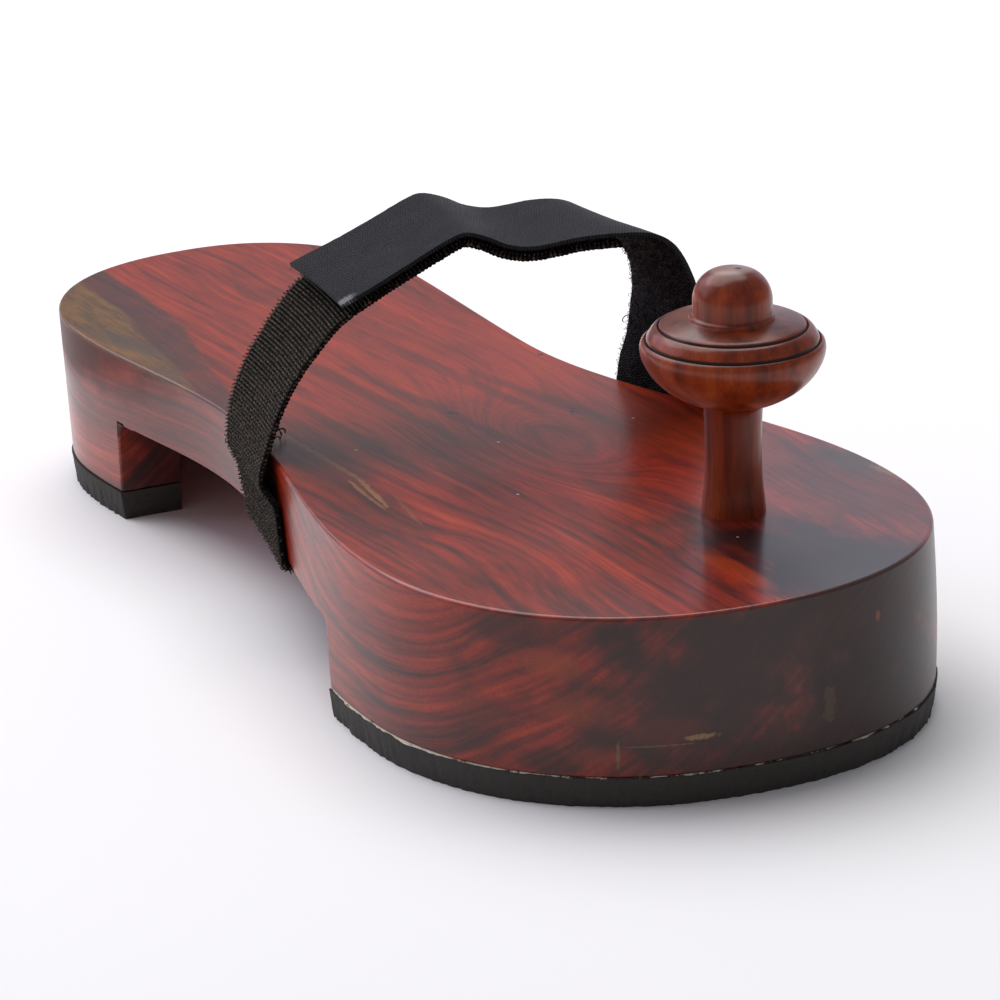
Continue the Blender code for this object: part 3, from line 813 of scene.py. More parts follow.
def standOn(point, up, towards, heading, size):
    # a matrix that stands a small piece on the tape, bent towards a direction turned by heading
    side = (towards - up * towards.dot(up)).normalized()
    side.rotate(Matrix.Rotation(heading, 3, up))
    ahead = up.cross(side)
    turn = Matrix((side, ahead, up)).transposed().to_4x4()
    return Matrix.Translation(point) @ turn @ Matrix.Scale(size, 4)


def buildHooks(tape, ribs, finish):
    dice = random.Random(7)
    places = []
    columns = int(strap["width"] / hookTape["hookSpacing"])
    for rib in range(int(ribs)):
        along = (rib + 0.5) / ribs
        for column in range(columns + 1):
            across = (column + dice.uniform(-0.25, 0.25)) / columns
            if along * tape.length > hookTape["coveredFrom"] * mm and 0.05 < across < 0.95:
                continue  # under the loop half only the edges show
            up = tape.normal(across, along)
            up = (up + Vector([dice.uniform(-0.16, 0.16) for axis in range(3)])).normalized()
            sunk = hookTape["baseDrop"] - hookTape["rib"] + hookTape["hookSunk"]
            base = tape.point(across, along) - up * sunk * mm
            heading = dice.uniform(-0.7, 0.7) + math.pi * (rib % 2)
            places.append(standOn(base, up, tape.side(along), heading, dice.uniform(0.8, 1.2)))
    piece = joinedCopies("strapHooks", hookTemplate(), places, finish)
    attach(piece, "root")


# Pulled threads at the edge of the hook half, beside the sole's rim: place in mm, heading in radians,
# size against a pile loop
looseThreads = {
    "rings": (((-42.4, 2.6, 39.6), 0.2, 3.6), ((-41.2, 1.6, 40.2), 1.9, 2.8), ((-42.0, 0.2, 39.2), 3.4, 3.2),
              ((-43.0, 3.8, 40.6), 5.1, 2.4), ((-40.6, 3.0, 39.4), 4.2, 2.2)),
}


def buildThreads(finish):
    places = []
    for spot, heading, size in looseThreads["rings"]:
        up = Vector((0.3 * math.sin(heading * 2), -0.4, 1.0)).normalized()
        places.append(standOn(Vector(spot) * mm, up, Vector((1, 0, 0)), heading, size))
    piece = joinedCopies("looseThreads", loopTemplate(), places, finish)
    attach(piece, "root")


def buildLoopHalf(finish, pileFinish):
    tape = Tape(loopHalfRows(), loopTape["pitch"])

    def relief(across, along):
        wave = noise.noise(Vector((across * 3, along * 14, 5.0))) * loopTape["wave"]
        fray = noise.noise(Vector((across * 9, along * 160, 2.0))) * loopTape["frayed"]
        return wave, edgeSide(across) * fray

    piece = tapeSheet("strapLoopHalf", tape, loopTape, relief, finish)
    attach(piece, "root")
    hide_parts("strap_loop_half")
    buildPile(tape, pileFinish)


def loopTemplate():
    # one brushed loop of the pile: a thin thread in half a ring
    loop = bmesh.new()
    bmesh.ops.create_circle(loop, segments=3, radius=loopTape["threadRadius"] * mm)
    bmesh.ops.spin(loop, geom=loop.verts[:] + loop.edges[:], cent=(loopTape["loopRadius"] * mm, 0, 0),
                   axis=(0, 1, 0), angle=math.pi, steps=5)
    return closedTemplate(loop, "loopTemplate")


def buildPile(tape, finish):
    dice = random.Random(11)
    places = []
    rows = int(tape.length / mm / loopTape["loopSpacing"])
    columns = int(strap["width"] / loopTape["loopSpacing"])
    for row in range(rows):
        for column in range(columns + 1):
            across = (column + dice.uniform(-0.5, 0.5)) / columns
            along = (row + dice.uniform(-0.5, 0.5)) / rows
            covered = along * tape.length < loopTape["coveredTo"] * mm and 0.06 < across < 0.94
            if covered or along * tape.length > loopTape["shownTo"] * mm:
                continue  # on the hooks or under the arch
            across = min(max(across, 0.0), 1.0)
            down = -tape.normal(across, along)
            down = (down + Vector([dice.uniform(-0.5, 0.5) for axis in range(3)])).normalized()
            base = tape.point(across, along) - tape.normal(across, along) * loopTape["thickness"] * mm
            atEdge = across in (0.0, 1.0)
            stray = loopTape["stray"] if atEdge and dice.random() < loopTape["strayShare"] else 1.0
            places.append(standOn(base, down, tape.side(along), dice.uniform(0, math.tau),
                                  stray * dice.uniform(0.5, 1.25)))
    print("pile loops:", len(places))
    piece = joinedCopies("strapPile", loopTemplate(), places, finish)
    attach(piece, "root")


# Finishes

# Rosewood. Lengths in mm; a layer of the tone has the length of its spots and its share. A mark has its
# place (across, along, up), its half sizes, its turn about the vertical in degrees, its colour and how
# much of it covers the wood.
heartwood = {
    "colours": ((0.16, "#2a110c"), (0.32, "#4d170e"), (0.45, "#791f10"), (0.58, "#96280f"),
                (0.76, "#b03d17")),
    "drifts": ((60.0, 13.0), (16.0, 1.3)), "lean": (0.86, 0.05, -1.0),
    "figures": (
        # the swirl in the middle of the forefoot, and the small knot at its inner edge
        ((5.0, -26.0, 38.0), (13.0, 28.0, 30.0), 27.0),
        ((56.0, -71.0, 38.0), (6.0, 13.0, 20.0), 9.0),
        ((-30.0, -84.0, 30.0), (12.0, 26.0, 22.0), -6.0),
    ),
    "streak": (4.6, 0.74), "line": (1.1, 0.40), "cloud": (17.0, 0.55), "ring": (2.1, 0.34),
    "flow": (0.12, 0.055, 0.16), "fibre": 0.32, "pore": 0.55, "poreDepths": (0.04, 0.012),
    "tears": (7.692, 1.111), "smallMark": 1.8, "smallEdge": (0.9, 0.6), "broadEdge": (0.9, 0.95),
    "marks": {
        "top": (
            ("warm wood over the waist", (2, 34, 38.6), (34, 66, 6), 0, "#a02c12", 0.38),
            ("brown band over the waist", (-13, 24, 38.6), (2, 40, 3), 5, "#38140c", 0.62),
            ("band beside it", (-4, 4, 38.6), (1.9, 32, 3), 9, "#3d160d", 0.60),
            ("band on the inner side", (9, 22, 38.6), (1.9, 36, 3), 8, "#43180e", 0.50),
            ("band towards the swirl", (20, -6, 38.6), (2, 26, 3), 14, "#3d160d", 0.52),
            ("band on the outer side", (-26, -8, 38.6), (2.1, 30, 3), 4, "#34130c", 0.55),
            ("band before the knob", (-6, -78, 38.6), (2.1, 24, 3), 10, "#3d160d", 0.45),
            ("dark heart under the big toe", (23, -113, 38.6), (15, 34, 9), 30, "#170c0e", 0.94),
            ("its end at the rim", (16, -124, 38.6), (15, 14, 9), 0, "#170c0e", 0.94),
            ("brown vein down the forefoot", (-14, -34, 38.6), (8, 42, 6), -19, "#45180e", 0.34),
            ("dark streak by the little toe", (-41, -26, 38.6), (6.5, 36, 7), -4, "#38190f", 0.66),
            ("tan streak in it", (-38.2, -12, 38.6), (0.7, 20, 2.5), 2, "#8a5a28", 0.70),
            ("fleck at its end", (-40.4, -34, 38.6), (0.45, 6.5, 2.5), -5, "#94683a", 0.75),
            ("fleck beside that", (-39, -38, 38.6), (0.6, 8.5, 2.5), -7, "#94683a", 0.80),
            ("third fleck", (-40.8, -42, 38.6), (0.4, 5, 2.5), -4, "#8a5f33", 0.65),
            ("streak's far end", (-37.6, -51, 38.6), (0.45, 9, 2.5), -9, "#86562c", 0.50),
            ("grey knot at the inner edge", (54.6, -69, 38.6), (4.6, 12, 4), 8, "#34362e", 0.90),
            ("tan heart of the knot", (57.4, -77, 38.6), (1.3, 5.5, 2.5), 10, "#8f6a40", 0.80),
            ("dark wood beside the knob", (50, -86, 38.6), (14, 36, 5), 14, "#35120e", 0.62),
            ("grey cloud in the sapwood", (-42, 76, 38.6), (2.8, 11, 4), 9, "#4a3c35", 0.75),
            ("smaller grey cloud", (-43.6, 52, 38.6), (1.8, 7, 4), 6, "#4b3a30", 0.60),
            ("orange flame at the knob", (2.3, -113, 38.6), (2.6, 10, 3), 4, "#a83a10", 0.70),
            ("orange flame behind the knob", (33, -36, 38.6), (11, 22, 4), 8, "#a03a12", 0.40),
        ),
        "walls": (
            # these two marks are dark heartwood and also painted shade on the front wall, which faces away
            # from the light
            ("dark heart in the front wall", (22, -128, 32), (58, 36, 20), 0, "#1c0e0a", 0.93),
            ("its lower part", (30, -128, 8), (46, 36, 18), 0, "#1c0e0a", 0.93),
            ("dark patch low at the front", (-41, -118, 9.5), (5.5, 7, 3), 0, "#26110b", 0.75),
            ("dark patch beside it", (-30, -124, 14), (5, 7, 2.6), 0, "#2b130c", 0.70),
            ("brown patch in the side wall", (-50, -105, 15), (5, 8, 6), 0, "#4a1a0e", 0.55),
            ("brown cloud under the rim", (-46, -112, 35.5), (10, 12, 3.5), 0, "#3f160d", 0.65),
            ("orange flame high in the front", (-41, -118, 29), (6, 8, 2.6), 0, "#93390f", 0.65),
            ("orange flame in the middle", (-35, -121, 20), (7, 8, 2.6), 0, "#8a3110", 0.65),
            ("orange flame in the dark heart", (-22, -129, 15.5), (7, 7, 2.4), 0, "#74290f", 0.70),
            ("orange flame low in the front", (-34, -123, 10.5), (4.5, 6, 2), 0, "#7c2b10", 0.60),
            # painted shade on the heel block's front face, where it looks into the dark arch
            ("dark front face of the heel block", (-33.6, 73.4, 10), (14.2, 1.9, 13), 0, "#200c09", 0.75),
            ("dark heart in the far wall", (66, -60, 10), (14, 60, 26), 0, "#220d09", 0.70),
            ("dark wood high in the heel wall", (-44, 98, 38), (12, 34, 9), 0, "#46160c", 0.85),
            # painted shade darkening the front wall
            ("brown veil over the front", (-10, -131, 20), (32, 12, 18), 0, "#33120b", 0.60),
            ("brown veil over the side wall", (-44, 44, 28), (14, 56, 15), 0, "#39170c", 0.40),
            ("bare chip low on the front", (-15.6, -131.5, 13.8), (3.2, 2.5, 0.55), 0, "#8d6f45", 0.80),
            ("scratch beside it", (-24, -129, 12.6), (7, 4, 0.16), 0, "#6f5436", 0.60),
            ("upright scratch", (-30.5, -126.2, 11), (0.35, 2.5, 2.6), 0, "#74552f", 0.70),
            ("rubbed spot on the front", (12.5, -132.2, 15.4), (1.5, 2.5, 3.4), 0, "#4c3822", 0.75),
            ("small orange spot", (25.3, -128.4, 30), (0.7, 2, 0.9), 0, "#80401f", 0.70),
        ),
    },
    "pits": {"colour": "#0d0605", "at": (
        (-2.9, 0.4, 0.60), (-1.9, -0.6, 0.35), (19.2, -11.4, 0.40), (20.3, -9.7, 0.32), (18.5, -12.9, 0.28),
        (-20.0, 62.0, 0.50), (31.0, 26.0, 0.45), (8.0, 88.0, 0.50))},
    "specks": {"colour": "#c9bfb6", "at": (
        (-30.3, -11.3, 0.28), (-2.8, -21.1, 0.26), (28.3, -21.1, 0.26), (-14.0, -52.0, 0.22),
        (12.0, -96.0, 0.20), (-8.0, 74.0, 0.24))},
    "dotTilt": 20.0, "polish": 0.78, "polishWave": 20.0,
    "wornPolish": (((-44.0, 100.0, 40.0), (20.0, 46.0, 12.5), 0.68),
                   ((44.0, -116.0, 20.0), (40.0, 34.0, 40.0), 0.30)),
    # the painted highlight along the rounded rim: its share and its colour
    "rimHighlight": 0.11, "rimHighlightColour": "#a8705c",
    "sapwood": {"rear": 92.0, "front": 16.0, "rearAcross": -33.8, "frontAcross": -48.0, "depth": 38.1,
                "waveLength": 10.0, "wave": 6.0, "grain": 2.381, "border": "#3c2423", "borderWidth": 8.5,
                "colours": ((0.40, "#583c20"), (0.66, "#80571f"))},
}


def objectPlace(add):  # the place on the object in mm
    where = add("TexCoord", {}, "Object")
    return add("VectorMath", {0: where, 1: (1 / mm,) * 3}, operation="MULTIPLY")


def grainNoise(add, inMm, size, drawn=(1.0, 1.0, 1.0), detail=2.0, roughness=0.5):
    # spots of a size in mm, drawn out along the axes whose share is below 1
    drawnOut = add("VectorMath", {0: inMm, 1: drawn}, operation="MULTIPLY")
    return add("TexNoise", {"Vector": drawnOut, "Scale": 1 / size, "Detail": detail, "Roughness": roughness})


def setStops(ramp, stops):  # a ramp's colours at their positions
    shades = ramp.node.color_ramp.elements
    for position, colour in stops[1:-1]:
        shades.new(position)
    for i, (position, colour) in enumerate(stops):
        shades[i].position = position
        shades[i].color = paint(colour)
    return ramp


def softSpot(add, inMm, centre, radii, cover=1.0, turn=0.0, torn=None, ragged=0.5, fade=0.4):
    # its cover inside an ellipsoid, fading to 0 across the edge, which the noise tears
    if turn:
        moved = add("Mapping", {"Vector": inMm, "Location": centre, "Rotation": (0, 0, math.radians(turn)),
                                "Scale": radii}, vector_type="TEXTURE")
    else:  # the same, quicker to render
        away = add("VectorMath", {0: inMm, 1: centre}, operation="SUBTRACT")
        moved = add("VectorMath", {0: away, 1: radii}, operation="DIVIDE")
    far = add("VectorMath", {0: moved}, "Value", operation="LENGTH")
    if torn:
        away = add("Math", {0: torn, 1: 0.5}, operation="SUBTRACT")
        far = add("Math", {0: away, 1: ragged * 2, 2: far}, operation="MULTIPLY_ADD")
    return add("MapRange", {"Value": far, "From Min": 1 + fade / 2, "From Max": 1 - fade / 2,
                            "To Max": cover}, interpolation_type="SMOOTHSTEP")


def woodGrain(add, inMm):
    # a depth into the log whose level lines are the growth lines: it drifts, and swells round each knot
    drawn = add("VectorMath", {0: inMm, 1: (1.0, 0.5, 1.0)}, operation="MULTIPLY")
    drifted = inMm
    for length, strength in heartwood["drifts"]:
        drift = add("TexNoise", {"Vector": drawn, "Scale": 1 / length, "Detail": 2.0, "Roughness": 0.55},
                    "Color")
        drifted = add("VectorMath", {0: drift, 1: (strength,) * 3, 2: drifted}, operation="MULTIPLY_ADD")
    level = add("VectorMath", {0: drifted, 1: heartwood["lean"]}, "Value", operation="DOT_PRODUCT")
    for centre, radii, swell in heartwood["figures"]:
        away = add("VectorMath", {0: inMm, 1: centre}, operation="SUBTRACT")
        moved = add("VectorMath", {0: away, 1: radii}, operation="DIVIDE")
        square = add("VectorMath", {0: moved, 1: moved}, "Value", operation="DOT_PRODUCT")
        fading = add("Math", {0: math.exp(-1), 1: square}, operation="POWER")
        level = add("Math", {0: fading, 1: swell, 2: level}, operation="MULTIPLY_ADD")
    return level


def woodTone(add, inMm, level):
    # streaks, fine lines and rings that follow the grain, over broad clouds of lighter and darker wood
    parts = add("SeparateXYZ", {0: inMm}).node.outputs
    across, along, up = heartwood["flow"]
    forward = add("Math", {0: parts["Y"], 1: along}, operation="MULTIPLY")
    slow = add("Math", {0: parts["Z"], 1: up, 2: forward}, operation="MULTIPLY_ADD")
    side = add("Math", {0: parts["X"], 1: across}, operation="MULTIPLY")
    flow = add("CombineXYZ", {"X": level, "Y": slow, "Z": side})
    streaks = add("TexNoise", {"Vector": flow, "Scale": 1 / heartwood["streak"][0], "Detail": 5.0,
                               "Roughness": 0.62, "Distortion": 0.35})
    lines = add("TexNoise", {"Vector": flow, "Scale": 1 / heartwood["line"][0], "Detail": 2.0})
    clouds = grainNoise(add, inMm, heartwood["cloud"][0], (1.0, 0.3, 1.0), 5.0, 0.6)
    rings = add("TexNoise", {"W": level, "Scale": 1 / heartwood["ring"][0], "Detail": 2.0, "Roughness": 0.55},
                noise_dimensions="1D")
    tone = 0.5
    for key, layer in (("streak", streaks), ("line", lines), ("cloud", clouds), ("ring", rings)):
        centred = add("Math", {0: layer, 1: 0.5}, operation="SUBTRACT")
        tone = add("Math", {0: centred, 1: heartwood[key][1], 2: tone}, operation="MULTIPLY_ADD")
    return tone


def withSapwood(add, inMm, colour):
    # the strip of sapwood along the outer edge of the heel, and the dark wood beside it
    sap = heartwood["sapwood"]
    parts = add("SeparateXYZ", {0: inMm}).node.outputs
    limit = add("MapRange", {"Value": parts["Y"], "From Min": sap["front"], "From Max": sap["rear"],
                             "To Min": sap["frontAcross"], "To Max": sap["rearAcross"]})
    wave = grainNoise(add, inMm, sap["waveLength"], (1.0, 0.28, 1.0), 3.0)
    wave = add("Math", {0: wave, 1: 0.5}, operation="SUBTRACT")
    limit = add("Math", {0: wave, 1: sap["wave"], 2: limit}, operation="MULTIPLY_ADD")
    inside = add("Math", {0: limit, 1: parts["X"]}, operation="SUBTRACT")
    shallow = add("MapRange", {"Value": parts["Z"], "From Min": sap["depth"] - 0.8,
                               "From Max": sap["depth"] + 0.3}, interpolation_type="SMOOTHSTEP")
    behind = add("MapRange", {"Value": parts["Y"], "From Min": sap["front"] - 6,
                              "From Max": sap["front"] + 6}, interpolation_type="SMOOTHSTEP")
    here = add("Math", {0: shallow, 1: behind}, operation="MULTIPLY")
    grain = grainNoise(add, inMm, sap["grain"], (1.0, 0.22, 1.0), 4.0, 0.65)
    tan = setStops(add("ValToRGB", {"Fac": grain}), sap["colours"])
    for edge, cover, over in ((-sap["borderWidth"], 0.8, paint(sap["border"])), (0.0, 0.92, tan)):
        zone = add("MapRange", {"Value": inside, "From Min": edge - 0.6, "From Max": edge + 1.2,
                                "To Max": cover}, interpolation_type="SMOOTHSTEP")
        zone = add("Math", {0: zone, 1: here}, operation="MULTIPLY")
        colour = add("Mix", {0: zone, 6: colour, 7: over}, 2, data_type="RGBA")
    return colour


def withPaintedRimHighlight(add, colour):
    # the rounded rim is painted lighter, a painted highlight; it is where the surface turns from flat to
    # upright
    turned = add("SeparateXYZ", {0: add("NewGeometry", {}, "Normal")}, "Z")
    # rubbed is the share of the painted highlight
    rubbed = heartwood["rimHighlight"]
    for start, stop in ((0.15, 0.5), (0.985, 0.9)):
        ended = add("MapRange", {"Value": turned, "From Min": start, "From Max": stop},
                    interpolation_type="SMOOTHSTEP")
        rubbed = add("Math", {0: ended, 1: rubbed}, operation="MULTIPLY")
    return add("Mix", {0: rubbed, 6: colour, 7: paint(heartwood["rimHighlightColour"])}, 2, data_type="RGBA")


def rosewood():
    # rosewood, carved, sanded and polished: deep red heartwood with near-black streaks, open pores
    # that the polish has nearly filled, a strip of tan sapwood, and a gloss that follows soft waves
    finish, shader, add = newFinish("polished rosewood")
    inMm = objectPlace(add)
    tone = woodTone(add, inMm, woodGrain(add, inMm))
    colour = setStops(add("ValToRGB", {"Fac": tone}), heartwood["colours"])
    colour = withSapwood(add, inMm, colour)

    # the marks of the top and of the walls, which meet in the rounded rim
    broad, fine = [grainNoise(add, inMm, size, (1.0, 0.55, 1.0), 3.0) for size in heartwood["tears"]]
    faces = {"top": colour, "walls": colour}
    for face, marks in heartwood["marks"].items():
        for name, centre, radii, turn, shade, cover in marks:
            small = min(radii) < heartwood["smallMark"]
            edge = (fine, *heartwood["smallEdge"]) if small else (broad, *heartwood["broadEdge"])
            mask = softSpot(add, inMm, centre, radii, cover, turn, *edge)
            faces[face] = add("Mix", {0: mask, 6: faces[face], 7: paint(shade)}, 2,
                              data_type="RGBA", label=name)
    onWalls = add("MapRange", {"Value": add("SeparateXYZ", {0: inMm}, "Z"), "From Min": sole["footbed"] - 0.2,
                               "From Max": sole["footbed"] - 0.9})
    colour = add("Mix", {0: onWalls, 6: faces["top"], 7: faces["walls"]}, 2, data_type="RGBA")

    # fibres, with pores as short dark dashes along the grain
    fibres = grainNoise(add, inMm, heartwood["fibre"], (1.0, 0.035, 1.0))
    dashes = add("VectorMath", {0: inMm, 1: (1.0, 0.14, 1.0)}, operation="MULTIPLY")
    pores = add("TexVoronoi", {"Vector": dashes, "Scale": 1 / heartwood["pore"], "Randomness": 1.0})
    pores = add("MapRange", {"Value": pores, "From Min": 0.22, "From Max": 0.10})
    shade = add("MapRange", {"Value": fibres, "From Min": 0.3, "From Max": 0.7, "To Min": 0.80,
                             "To Max": 1.16})
    shade = add("Math", {0: pores, 1: -0.38, 2: shade}, operation="MULTIPLY_ADD")
    colour = add("VectorMath", {0: colour, "Scale": shade}, operation="SCALE")
    tilt = math.radians(heartwood["dotTilt"])
    tilted = add("Mapping", {"Vector": inMm, "Rotation": (0, 0, -tilt)})
    for spots in (heartwood["pits"], heartwood["specks"]):
        for across, along, size in spots["at"]:
            centre = Matrix.Rotation(-tilt, 3, "Z") @ Vector((across, along, sole["footbed"]))
            dot = softSpot(add, tilted, centre, (size, size * 1.6, 1.0))
            colour = add("Mix", {0: dot, 6: colour, 7: paint(spots["colour"])}, 2, data_type="RGBA")
    colour = withPaintedRimHighlight(add, colour)

    # rubbed walls have lost some of their polish
    coat = heartwood["polish"]
    for centre, radii, lost in heartwood["wornPolish"]:
        thin = softSpot(add, inMm, centre, radii, -lost, 0.0, broad, 0.2, 0.6)
        coat = add("Math", {0: thin, 1: onWalls, 2: coat}, operation="MULTIPLY_ADD")
    waves = grainNoise(add, inMm, heartwood["polishWave"])
    soft = add("Bump", {"Height": waves, "Distance": 1.2 * mm, "Strength": 0.02})
    grain, film = [add("Bump", {"Height": shade, "Normal": soft, "Distance": depth * mm, "Strength": 0.5})
                   for depth in heartwood["poreDepths"]]
    rough = add("MapRange", {"Value": waves, "To Min": 0.34, "To Max": 0.52})
    fill(shader, {"Base Color": colour, "Roughness": rough, "Normal": grain, "Specular IOR Level": 0.12,
                  "Coat Weight": coat, "Coat Roughness": 0.21, "Coat Normal": film})
    return finish


# The knob's wood: sizes in mm, and the darker colour of its two grooves
knobWood = {
    "streak": 3.333, "fibre": 0.3846, "drawn": (1.0, 1.0, 0.07),
    "colours": ((0.26, "#55190c"), (0.50, "#883311"), (0.76, "#a4461c")),
    "grooveDark": ("#120705", "#2a0f08"), "grooveDarkReach": (0.62, 0.28),
    "topSheenAndCentreMark": (
        # from the dome's top, half sizes, colour, cover: a painted sheen over the dome's top, and the dark
        # centre mark of the lathe
        ((0.4, 1.0, 0.0), (5.0, 4.4, 1.6), "#94736a", 0.80),
        ((0.9, -0.7, 0.0), (0.7, 0.7, 1.5), "#120a07", 0.95),
    ),
}


def turnedRosewood():
    # the same wood turned on a lathe and polished: its grain runs up the knob, and faces turned upwards are
    # darker, as end grain and as painted shade against the light from above
    finish, shader, add = newFinish("turned rosewood")
    inMm = objectPlace(add)
    streaks = grainNoise(add, inMm, knobWood["streak"], knobWood["drawn"], 4.0, 0.55)
    fibres = grainNoise(add, inMm, knobWood["fibre"], knobWood["drawn"], 3.0)
    colour = setStops(add("ValToRGB", {"Fac": streaks}), knobWood["colours"])
    shade = add("MapRange", {"Value": fibres, "From Min": 0.3, "From Max": 0.7, "To Min": 0.82,
                             "To Max": 1.14})
    up = add("SeparateXYZ", {0: add("NewGeometry", {}, "Normal")}, "Z")
    # faces turned up are darker: end grain, and painted shade where the light from above falls
    endGrainAndTopShade = add("MapRange", {"Value": up, "From Min": 0.35, "From Max": 0.95, "To Min": 1.0,
                                "To Max": 0.50})
    for darker in (shade, endGrainAndTopShade):
        colour = add("VectorMath", {0: colour, "Scale": darker}, operation="SCALE")

    # the two cut grooves are painted darker: their distance is taken in the knob's own section
    foot = knobFoot / mm
    fromFoot = add("VectorMath", {0: inMm, 1: foot}, operation="SUBTRACT")
    flat = add("VectorMath", {0: fromFoot, 1: (1, 1, 0)}, operation="MULTIPLY")
    radius = add("VectorMath", {0: flat}, "Value", operation="LENGTH")
    section = add("CombineXYZ", {"X": radius, "Z": add("SeparateXYZ", {0: fromFoot}, "Z")})
    farthest, nearest = knobWood["grooveDarkReach"]
    for (across, rise, slope), grooveDark in zip(knob["grooves"], knobWood["grooveDark"]):
        bed = (across - 0.25, 0.0, rise - 0.3)
        far = add("VectorMath", {0: section, 1: bed}, "Value", operation="DISTANCE")
        mask = add("MapRange", {"Value": far, "From Min": farthest, "From Max": nearest, "To Max": 0.95})
        colour = add("Mix", {0: mask, 6: colour, 7: paint(grooveDark)}, 2, data_type="RGBA")
    top = foot + Vector((0, 0, knob["domeTop"]))
    # a painted sheen on the dome's top, and the lathe's dark centre mark
    for offset, radii, hexCode, cover in knobWood["topSheenAndCentreMark"]:
        mask = softSpot(add, inMm, top + Vector(offset), radii, cover)
        colour = add("Mix", {0: mask, 6: colour, 7: paint(hexCode)}, 2, data_type="RGBA")
    bump = add("Bump", {"Height": shade, "Distance": 0.03 * mm, "Strength": 0.5})
    fill(shader, {"Base Color": colour, "Normal": bump, "Roughness": 0.38, "Specular IOR Level": 0.12,
                  "Coat Weight": 0.52, "Coat Roughness": 0.22})
    return finish


def cutRubber():
    # sheet rubber cut with a knife: near-black and matte with a fine drag in the cut
    finish, shader, add = newFinish("cut sheet rubber")
    grain = grainNoise(add, objectPlace(add), padCut["grain"], detail=5.0)
    colour = setStops(add("ValToRGB", {"Fac": grain}), ((0.0, "#211f1d"), (1.0, "#3d3a34")))
    bump = add("Bump", {"Height": grain, "Distance": 0.2 * mm, "Strength": 0.6})
    fill(shader, {"Base Color": colour, "Normal": bump, "Roughness": 0.78})
    return finish


def driedCement():
    # contact cement squeezed from the joint: cream where it stands proud, dark where it was wiped off
    finish, shader, add = newFinish("dried contact cement")
    inMm = objectPlace(add)
    patches = grainNoise(add, inMm, glue["patch"], detail=4.0, roughness=0.7)
    across = add("SeparateXYZ", {0: inMm}, "X")
    more = add("MapRange", {"Value": across, "From Min": -40.0, "From Max": -52.0, "To Max": 0.14})
    cream = add("Math", {0: patches, 1: more}, operation="ADD")
    colour = setStops(add("ValToRGB", {"Fac": cream}), ((0.49, "#2b211c"), (0.58, "#c8c2b0")))
    fill(shader, {"Base Color": colour, "Roughness": 0.6})
    return finish


def plainFinish(name, colour, roughness, specular=0.25):
    finish, shader, add = newFinish(name)
    fill(shader, {"Base Color": paint(colour), "Roughness": roughness, "Specular IOR Level": specular})
    return finish


# Tape cloth: yarn spacing and fuzz in mm along the tape's UV map, and the nylon's colours, some of them
# painted light and shade on the weave, the ribs and the hooks
tapeCloth = {
    "warp": 0.80, "weft": 0.62, "loopFuzz": 0.3846, "wear": 6.25,
    "loopWeaveLightAndShade": ((0.0, "#020203"), (1.0, "#2a2c33")),
    "melted": "#8d9194", "meltedAt": (-32.4, -12.2, 71.2), "meltedSize": (2.6, 1.3, 1.1),
    "hookYarn": 0.62, "hookFuzz": 0.3125, "hookRibLightAndShade": ((0.0, "#030202"), (1.0, "#6b5945")),
    "hookGlintPatch": 0.7143, "hookGlintShades": ((0.46, "#0e0b09"), (0.70, "#615646")),
}


def wovenLoopTape():
    # the smooth back of a loop tape: plain-woven nylon, blue-black with a dull sheen and a melted end
    finish, shader, add = newFinish("plain-woven nylon")
    uv = add("UVMap", {}, uv_map="tape")
    perYarn = (1 / tapeCloth["warp"] / mm, 1 / tapeCloth["weft"] / mm, 0)
    yarns = add("VectorMath", {0: uv, 1: perYarn}, operation="MULTIPLY")
    parts = add("SeparateXYZ", {0: yarns}).node.outputs
    # every second weft yarn passes over the warp yarns that its neighbour passes under
    ridges = []
    for axis, other in (("X", "Y"), ("Y", "X")):
        row = add("Math", {0: parts[other]}, operation="FLOOR")
        shifted = add("Math", {0: row, 1: 0.5, 2: parts[axis]}, operation="MULTIPLY_ADD")
        turned = add("Math", {0: shifted, 1: math.tau}, operation="MULTIPLY")
        ridges.append(add("Math", {0: turned}, operation="SINE"))
    weave = add("Math", {0: ridges[0], 1: ridges[1]}, operation="ADD")
    fuzz = grainNoise(add, uv, tapeCloth["loopFuzz"] * mm, detail=3.0)
    height = add("Math", {0: fuzz, 1: 1.6, 2: weave}, operation="MULTIPLY_ADD")
    # the raised yarns are painted lighter and the hollows between them darker: painted light and painted
    # shade
    lit = add("MapRange", {"Value": height, "From Min": -0.2, "From Max": 2.6})
    colour = setStops(add("ValToRGB", {"Fac": lit}), tapeCloth["loopWeaveLightAndShade"])
    inMm = objectPlace(add)
    worn = grainNoise(add, inMm, tapeCloth["wear"], detail=4.0, roughness=0.7)
    light = add("MapRange", {"Value": worn, "From Min": 0.35, "From Max": 0.7, "To Min": 0.75, "To Max": 1.7})
    colour = add("VectorMath", {0: colour, "Scale": light}, operation="SCALE")
    melted = softSpot(add, inMm, tapeCloth["meltedAt"], tapeCloth["meltedSize"], 1.0, 0.0, fuzz, 1.2, 0.8)
    colour = add("Mix", {0: melted, 6: colour, 7: paint(tapeCloth["melted"])}, 2, data_type="RGBA")
    bump = add("Bump", {"Height": height, "Distance": 0.16 * mm, "Strength": 1.0})
    fill(shader, {"Base Color": colour, "Normal": bump, "Roughness": 0.55, "Specular IOR Level": 0.24})
    return finish


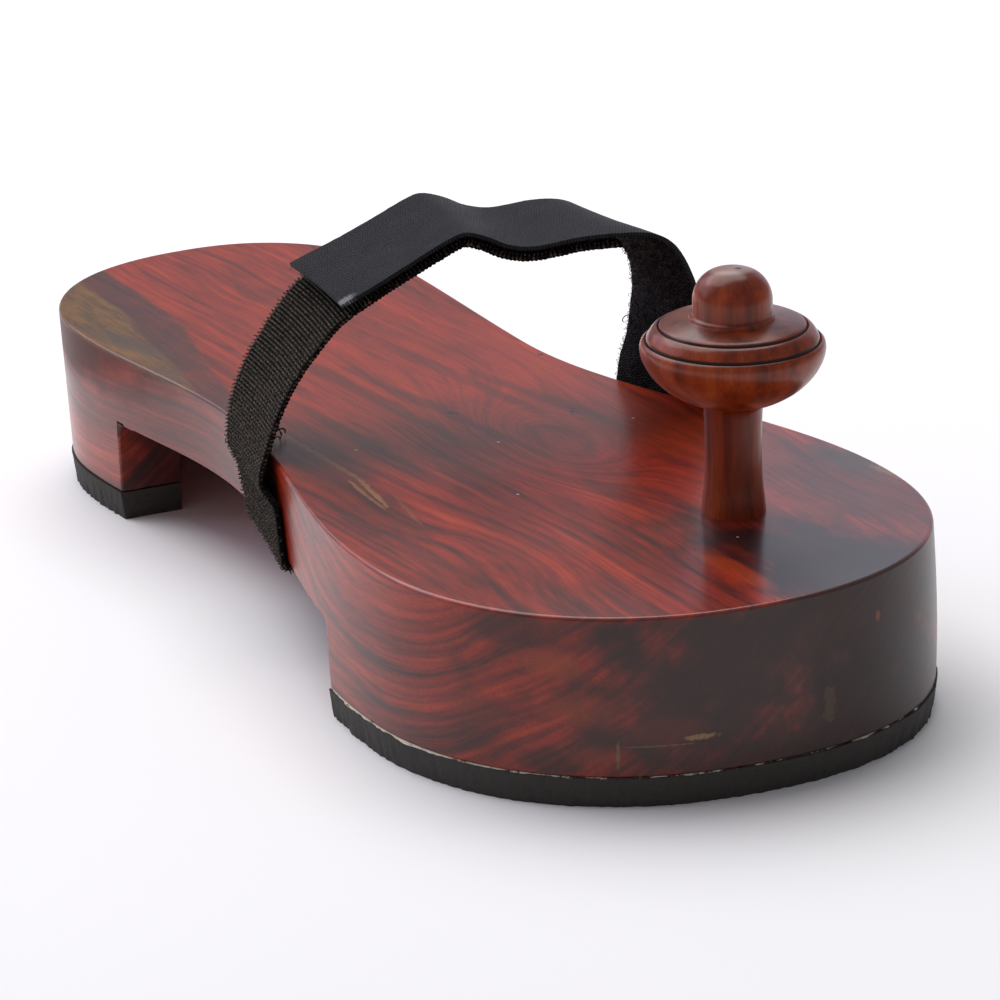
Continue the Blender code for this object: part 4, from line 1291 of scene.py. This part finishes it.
def mouldedHooks():
    # the hooks themselves: stiff nylon, brown-black, patches of them painted lighter as painted glints
    finish, shader, add = newFinish("moulded nylon hooks")
    patches = grainNoise(add, objectPlace(add), tapeCloth["hookGlintPatch"])
    colour = setStops(add("ValToRGB", {"Fac": patches}), tapeCloth["hookGlintShades"])
    fill(shader, {"Base Color": colour, "Roughness": 0.38, "Specular IOR Level": 0.4})
    return finish


def wovenHookTape():
    # the ground cloth of a hook tape: ribbed olive-black nylon, pebbly where the hooks are anchored
    finish, shader, add = newFinish("ribbed nylon ground")
    uv = add("UVMap", {}, uv_map="tape")
    pebbles = add("TexVoronoi", {"Vector": uv, "Scale": 1 / tapeCloth["hookYarn"] / mm})
    fuzz = grainNoise(add, uv, tapeCloth["hookFuzz"] * mm, detail=3.0)
    height = add("Math", {0: fuzz, 1: pebbles}, operation="SUBTRACT")
    # the ribs lie across the tape, pitch apart; their crests are painted lighter and the grooves between them
    # painted dark, as painted highlight and painted shade
    along = add("SeparateXYZ", {0: uv}, "Y")
    phase = add("Math", {0: along, 1: math.pi / hookTape["pitch"] / mm}, operation="MULTIPLY")
    ridge = add("Math", {0: phase}, operation="SINE")
    crest = add("Math", {0: ridge, 1: ridge}, operation="MULTIPLY")
    lit = add("Math", {0: crest, 1: 1.5, 2: height}, operation="MULTIPLY_ADD")
    lit = add("MapRange", {"Value": lit, "From Min": 0.85, "From Max": 1.95})
    colour = setStops(add("ValToRGB", {"Fac": lit}), tapeCloth["hookRibLightAndShade"])
    bump = add("Bump", {"Height": height, "Distance": 0.25 * mm, "Strength": 0.8})
    fill(shader, {"Base Color": colour, "Normal": bump, "Roughness": 0.65, "Specular IOR Level": 0.12})
    return finish


addCamera()
addStudio()
print("camera and studio set")
buildSole(rosewood())
print("sole carved")
buildKnob(turnedRosewood())
rubber = cutRubber()
buildForefootPad(rubber)
buildHeelPad(rubber)
buildGlueLine(driedCement())
print("knob, pads and glue line made")
buildHookHalf(wovenHookTape(), mouldedHooks())
buildLoopHalf(wovenLoopTape(), plainFinish("brushed nylon loops", "#0d0c0b", 0.7))
buildThreads(plainFinish("pulled nylon threads", "#0b0a0a", 0.6))
print("strap made")
